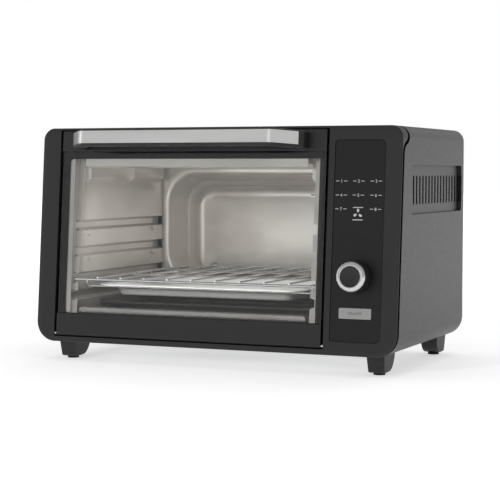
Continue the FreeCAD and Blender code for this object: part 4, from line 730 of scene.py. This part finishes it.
def near_line(spot, start, end):
    """How far a point lies from a stretch of line."""
    run = end - start
    share = min(max((spot - start).dot(run) / run.length_squared, 0.0), 1.0)
    return (spot - start - run * share).length


def front_shell():
    """The front shell with its face crowned towards the edge."""
    outside = case_outline(-SHELL_PAST)
    rings = [[place(x, SHELL_BEHIND, z) for x, z in outside],
             [place(x, face_depth(z) + SHELL_START, z) for x, z in outside]]
    for inset in CROWN_INSETS:
        drop = crown_drop(inset)
        rings.append([place(x, face_depth(z) + drop, z) for x, z in case_outline(inset)])
    mesh = shaded(carved("front_bezel", loft(rings), "INTERSECT"))
    made = piece("front_bezel_crowned", mesh, "casing", "dark_plastic")

    # The tongue's faces behind the seam take painted shade, a matt black standing for the gap's
    # shadow.
    def on_tongue(x, y, z):
        return inset_at(x, z) > TONGUE_INSET and y > face_depth(z) + SEAM_DEPTH

    darkened(mesh, on_tongue)
    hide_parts("front_bezel")


def trimmed_cover():
    """The cover, with its front edge set back so that the seam shows as a dark gap, and the cut
    edge along it painted black as shade.
    """
    far = 2 * CASE_HALF
    side, top = SEAM_DEPTH + SEAM_OPEN, SEAM_TOP_DEPTH + SEAM_OPEN
    outline = softened([(face_depth(-CASE_LOW) + side, -CASE_LOW),
                        (face_depth(SEAM_LOW) + side, SEAM_LOW - SEAM_OPEN / 2, SEAM_BEND),
                        (top, SEAM_HIGH - SEAM_OPEN / 2, SEAM_BEND),
                        (top, far), (-far, far), (-far, -CASE_LOW)])
    rings = [[place(x, y, z) for y, z in outline] for x in (-far, far)]
    mesh = shaded(carved("outer_cover", loft(rings), "DIFFERENCE"), flats=True)
    made = piece("outer_cover_trimmed", mesh, "casing", "cover_paint")
    edges = list(zip(outline, outline[1:]))

    # The cover's cut edge along the seam takes painted shade, a matt black standing for the gap's
    # shadow.
    def on_cut(x, y, z):
        spot = Vector((y, z))
        return any(near_line(spot, start, end) < ON_CUT for start, end in edges)

    darkened(mesh, on_cut)
    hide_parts("outer_cover")


# Feet, and the strip beside the cavity

FOOT_HALF, FOOT_LENGTH, FOOT_HIGH, FOOT_LOW = 10.0, 36.5, 22.0, 2.5
FOOT_HEEL, FOOT_LEAN, FOOT_TAPER = 19.0, 4.3, 0.8
FOOT_TOE = ((0.0, FOOT_HIGH), (FOOT_LEAN * 0.9, FOOT_LOW + 2.0), (FOOT_LEAN + 0.6, FOOT_LOW + 0.6),
            (FOOT_LEAN + 2.0, FOOT_LOW))
FOOT_FACES = ((-1, 1.2), (-0.88, 0.0), (0.88, 0.0), (1, 1.2))
FOOT_LIFT = 0.6
FOOT_START = {"front": 21.0, "rear": 253.6}

STRIP_LOW, STRIP_HIGH = 30.0, 222.0
STRIP_BACK, STRIP_THICK, STRIP_REACH, STRIP_LAP = 11.4, 0.9, 11.0, 0.5


def foot_ring(profile, across, inset, middle, start, way):
    """The foot's side view at one place across it, drawn in towards its sole."""
    ring = []
    for y, z in profile:
        share = (FOOT_HIGH - z) / (FOOT_HIGH - FOOT_LOW)
        half, pull = FOOT_HALF - FOOT_TAPER * share, inset * share
        depth = min(max(y, pull), FOOT_LENGTH - pull)
        ring.append(place(middle + across * half, start + way * depth,
                          max(z, FOOT_LOW + pull * FOOT_LIFT)))
    return ring


def moulded_feet():
    """Feet with a quarter-round heel towards the oven's middle and a leaning toe."""
    heel = arc((FOOT_LENGTH - FOOT_HEEL, FOOT_LOW + FOOT_HEEL), FOOT_HEEL, 270, 360, 10)
    profile = [*FOOT_TOE, *heel, (FOOT_LENGTH, FOOT_HIGH)]
    for end, start in FOOT_START.items():
        way = 1 if end == "front" else -1
        for word in ("left", "right"):
            node = f"foot_{end}_{word}"
            low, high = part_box(node)
            middle = (low[0] + high[0]) / 2 / MM
            rings = [foot_ring(profile, across, inset, middle, start, way)
                     for across, inset in FOOT_FACES]
            made = piece(node + "_moulded", shaded(loft(rings)), "casing", "dark_plastic")
            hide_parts(node)


def front_closure():
    """Strip of sheet between the cavity's left side wall and the door opening."""
    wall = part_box("cavity_left_wall")[0][0] / MM
    left, right = wall - STRIP_REACH, wall + STRIP_LAP
    corners = [(left, STRIP_LOW), (right, STRIP_LOW), (right, STRIP_HIGH), (left, STRIP_HIGH)]
    rings = [[on_face(x * MM, up * MM, -depth * MM) for x, up in corners]
             for depth in (STRIP_BACK, STRIP_BACK + STRIP_THICK)]
    piece("cavity_closure_left", loft(rings), "casing", "cavity_steel")


# Floor, backdrop and light

WHITE = (1.0, 1.0, 1.0, 1.0)
FLOOR_ALBEDO = 0.82
FLOOR_SIZE, FLOOR_DROP = 12.0, 0.0002
GLOW_NEAR, GLOW_FAR = 0.52, 0.8
NEAR, FAR = 0.55, 1.5
WORLD_LIGHT = 0.5
AIM_HEIGHT = 0.13
FILL_SIZE, FILL_PLACE, FILL_RADIANCE = (250 * MM, 114 * MM), (-29 * MM, 121 * MM, -12 * MM), 4.7


def white_stage(name):
    """Diffuse white that looks full white, also in metal and glass, where no shadow falls."""
    made = Finish(name, Base_Color=(FLOOR_ALBEDO,) * 3 + (1.0,), Roughness=1.0,
                  Specular_IOR_Level=0.0)
    reach = made.add("ShaderNodeVectorMath", operation="LENGTH")
    made.link(made.place, reach.inputs[0])
    glow = made.between(reach.outputs["Value"], GLOW_NEAR, GLOW_FAR, NEAR, FAR)
    ray = made.add("ShaderNodeLightPath")
    seen = ray.outputs["Is Camera Ray"]
    for kind in ("Is Glossy Ray", "Is Transmission Ray"):
        either = made.add("ShaderNodeMath", operation="MAXIMUM")
        made.link(seen, either.inputs[0])
        made.link(ray.outputs[kind], either.inputs[1])
        seen = either.outputs[0]
    strength = made.add("ShaderNodeMath", operation="MULTIPLY")
    made.link(seen, strength.inputs[0])
    made.link(glow, strength.inputs[1])
    made.link(strength.outputs[0], made.shader.inputs["Emission Strength"])
    made.set(Emission_Color=WHITE)
    made.bump(made.noise(40.0, 2.0), 0.00002, 0.2)
    return made


def make_floor():
    shape = bmesh.new()
    bmesh.ops.create_grid(shape, x_segments=1, y_segments=1, size=FLOOR_SIZE)
    floor = bpy.data.objects.new("floor", mesh_of(shape, "floor"))
    floor.location.z = -FLOOR_DROP
    bpy.context.scene.collection.objects.link(floor)
    floor.data.materials.append(white_stage("floor_white").material)


def make_world():
    """A world that the camera sees as white and that lights the oven more softly."""
    world = bpy.data.worlds.new("world")
    bpy.context.scene.world = world
    world.use_nodes = True
    tree = world.node_tree
    tree.nodes.clear()
    output = tree.nodes.new("ShaderNodeOutputWorld")
    seen = tree.nodes.new("ShaderNodeBackground")
    lit = tree.nodes.new("ShaderNodeBackground")
    for ground, strength in ((seen, 1.0), (lit, WORLD_LIGHT)):
        ground.inputs["Color"].default_value = WHITE
        ground.inputs["Strength"].default_value = strength
    ray = tree.nodes.new("ShaderNodeLightPath")
    mix = tree.nodes.new("ShaderNodeMixShader")
    tree.links.new(ray.outputs["Is Camera Ray"], mix.inputs[0])
    tree.links.new(lit.outputs[0], mix.inputs[1])
    tree.links.new(seen.outputs[0], mix.inputs[2])
    tree.links.new(mix.outputs[0], output.inputs["Surface"])


def lamp_panel(name, size, radiance, spot, facing):
    """A rectangular lamp of one radiance, whatever its size."""
    data = bpy.data.lights.new(name, "AREA")
    data.shape = "RECTANGLE"
    data.size, data.size_y = size
    data.energy = radiance * math.pi * size[0] * size[1]
    lamp = bpy.data.objects.new(name, data)
    bpy.context.scene.collection.objects.link(lamp)
    lamp.location = spot
    lamp.rotation_mode = "QUATERNION"
    lamp.rotation_quaternion = facing.to_track_quat("-Z", "Y")
    return lamp


def softbox(name, azimuth, elevation, distance, size, radiance, mirrored=True):
    """A lamp that faces the oven, seen from it at that azimuth and elevation in degrees."""
    around, up = math.radians(azimuth), math.radians(elevation)
    ahead = Vector((math.sin(around) * math.cos(up), -math.cos(around) * math.cos(up),
                    math.sin(up)))
    spot = ahead * distance + Vector((0.0, 0.0, AIM_HEIGHT))
    lamp = lamp_panel(name, size, radiance, spot, -ahead)
    lamp.visible_glossy = lamp.visible_transmission = mirrored


def cavity_fill():
    """Soft light into the cavity, from a panel just behind the window and along it."""
    inwards = Vector((0.0, math.cos(LEAN), -math.sin(LEAN)))
    lamp = lamp_panel("cavity_fill", FILL_SIZE, FILL_RADIANCE, on_face(*FILL_PLACE), inwards)
    lamp.visible_camera = lamp.visible_glossy = lamp.visible_transmission = False


def make_light():
    """The world and the lamps: azimuth, elevation, distance, size and radiance of each."""
    make_world()
    cavity_fill()
    softbox("key", -15.0, 12.0, 2.6, (0.28, 0.28), 70.0, mirrored=False)
    softbox("rear_right", 150.0, 14.0, 3.2, (3.4, 2.4), 0.4)
    softbox("top", 180.0, 64.0, 2.2, (1.5, 1.0), 1.0)
    softbox("left", -70.0, 16.0, 2.6, (0.9, 1.2), 1.0)
    softbox("bend", 8.0, 14.0, 2.6, (0.45, 0.6), 1.6)


make_camera()
dress_nodes()
panel_marks()
button_mark()
knob_pieces()
cavity_back_pressed()
front_shell()
trimmed_cover()
moulded_feet()
front_closure()
make_floor()
make_light()
bpy.context.scene.view_settings.view_transform = "Standard"
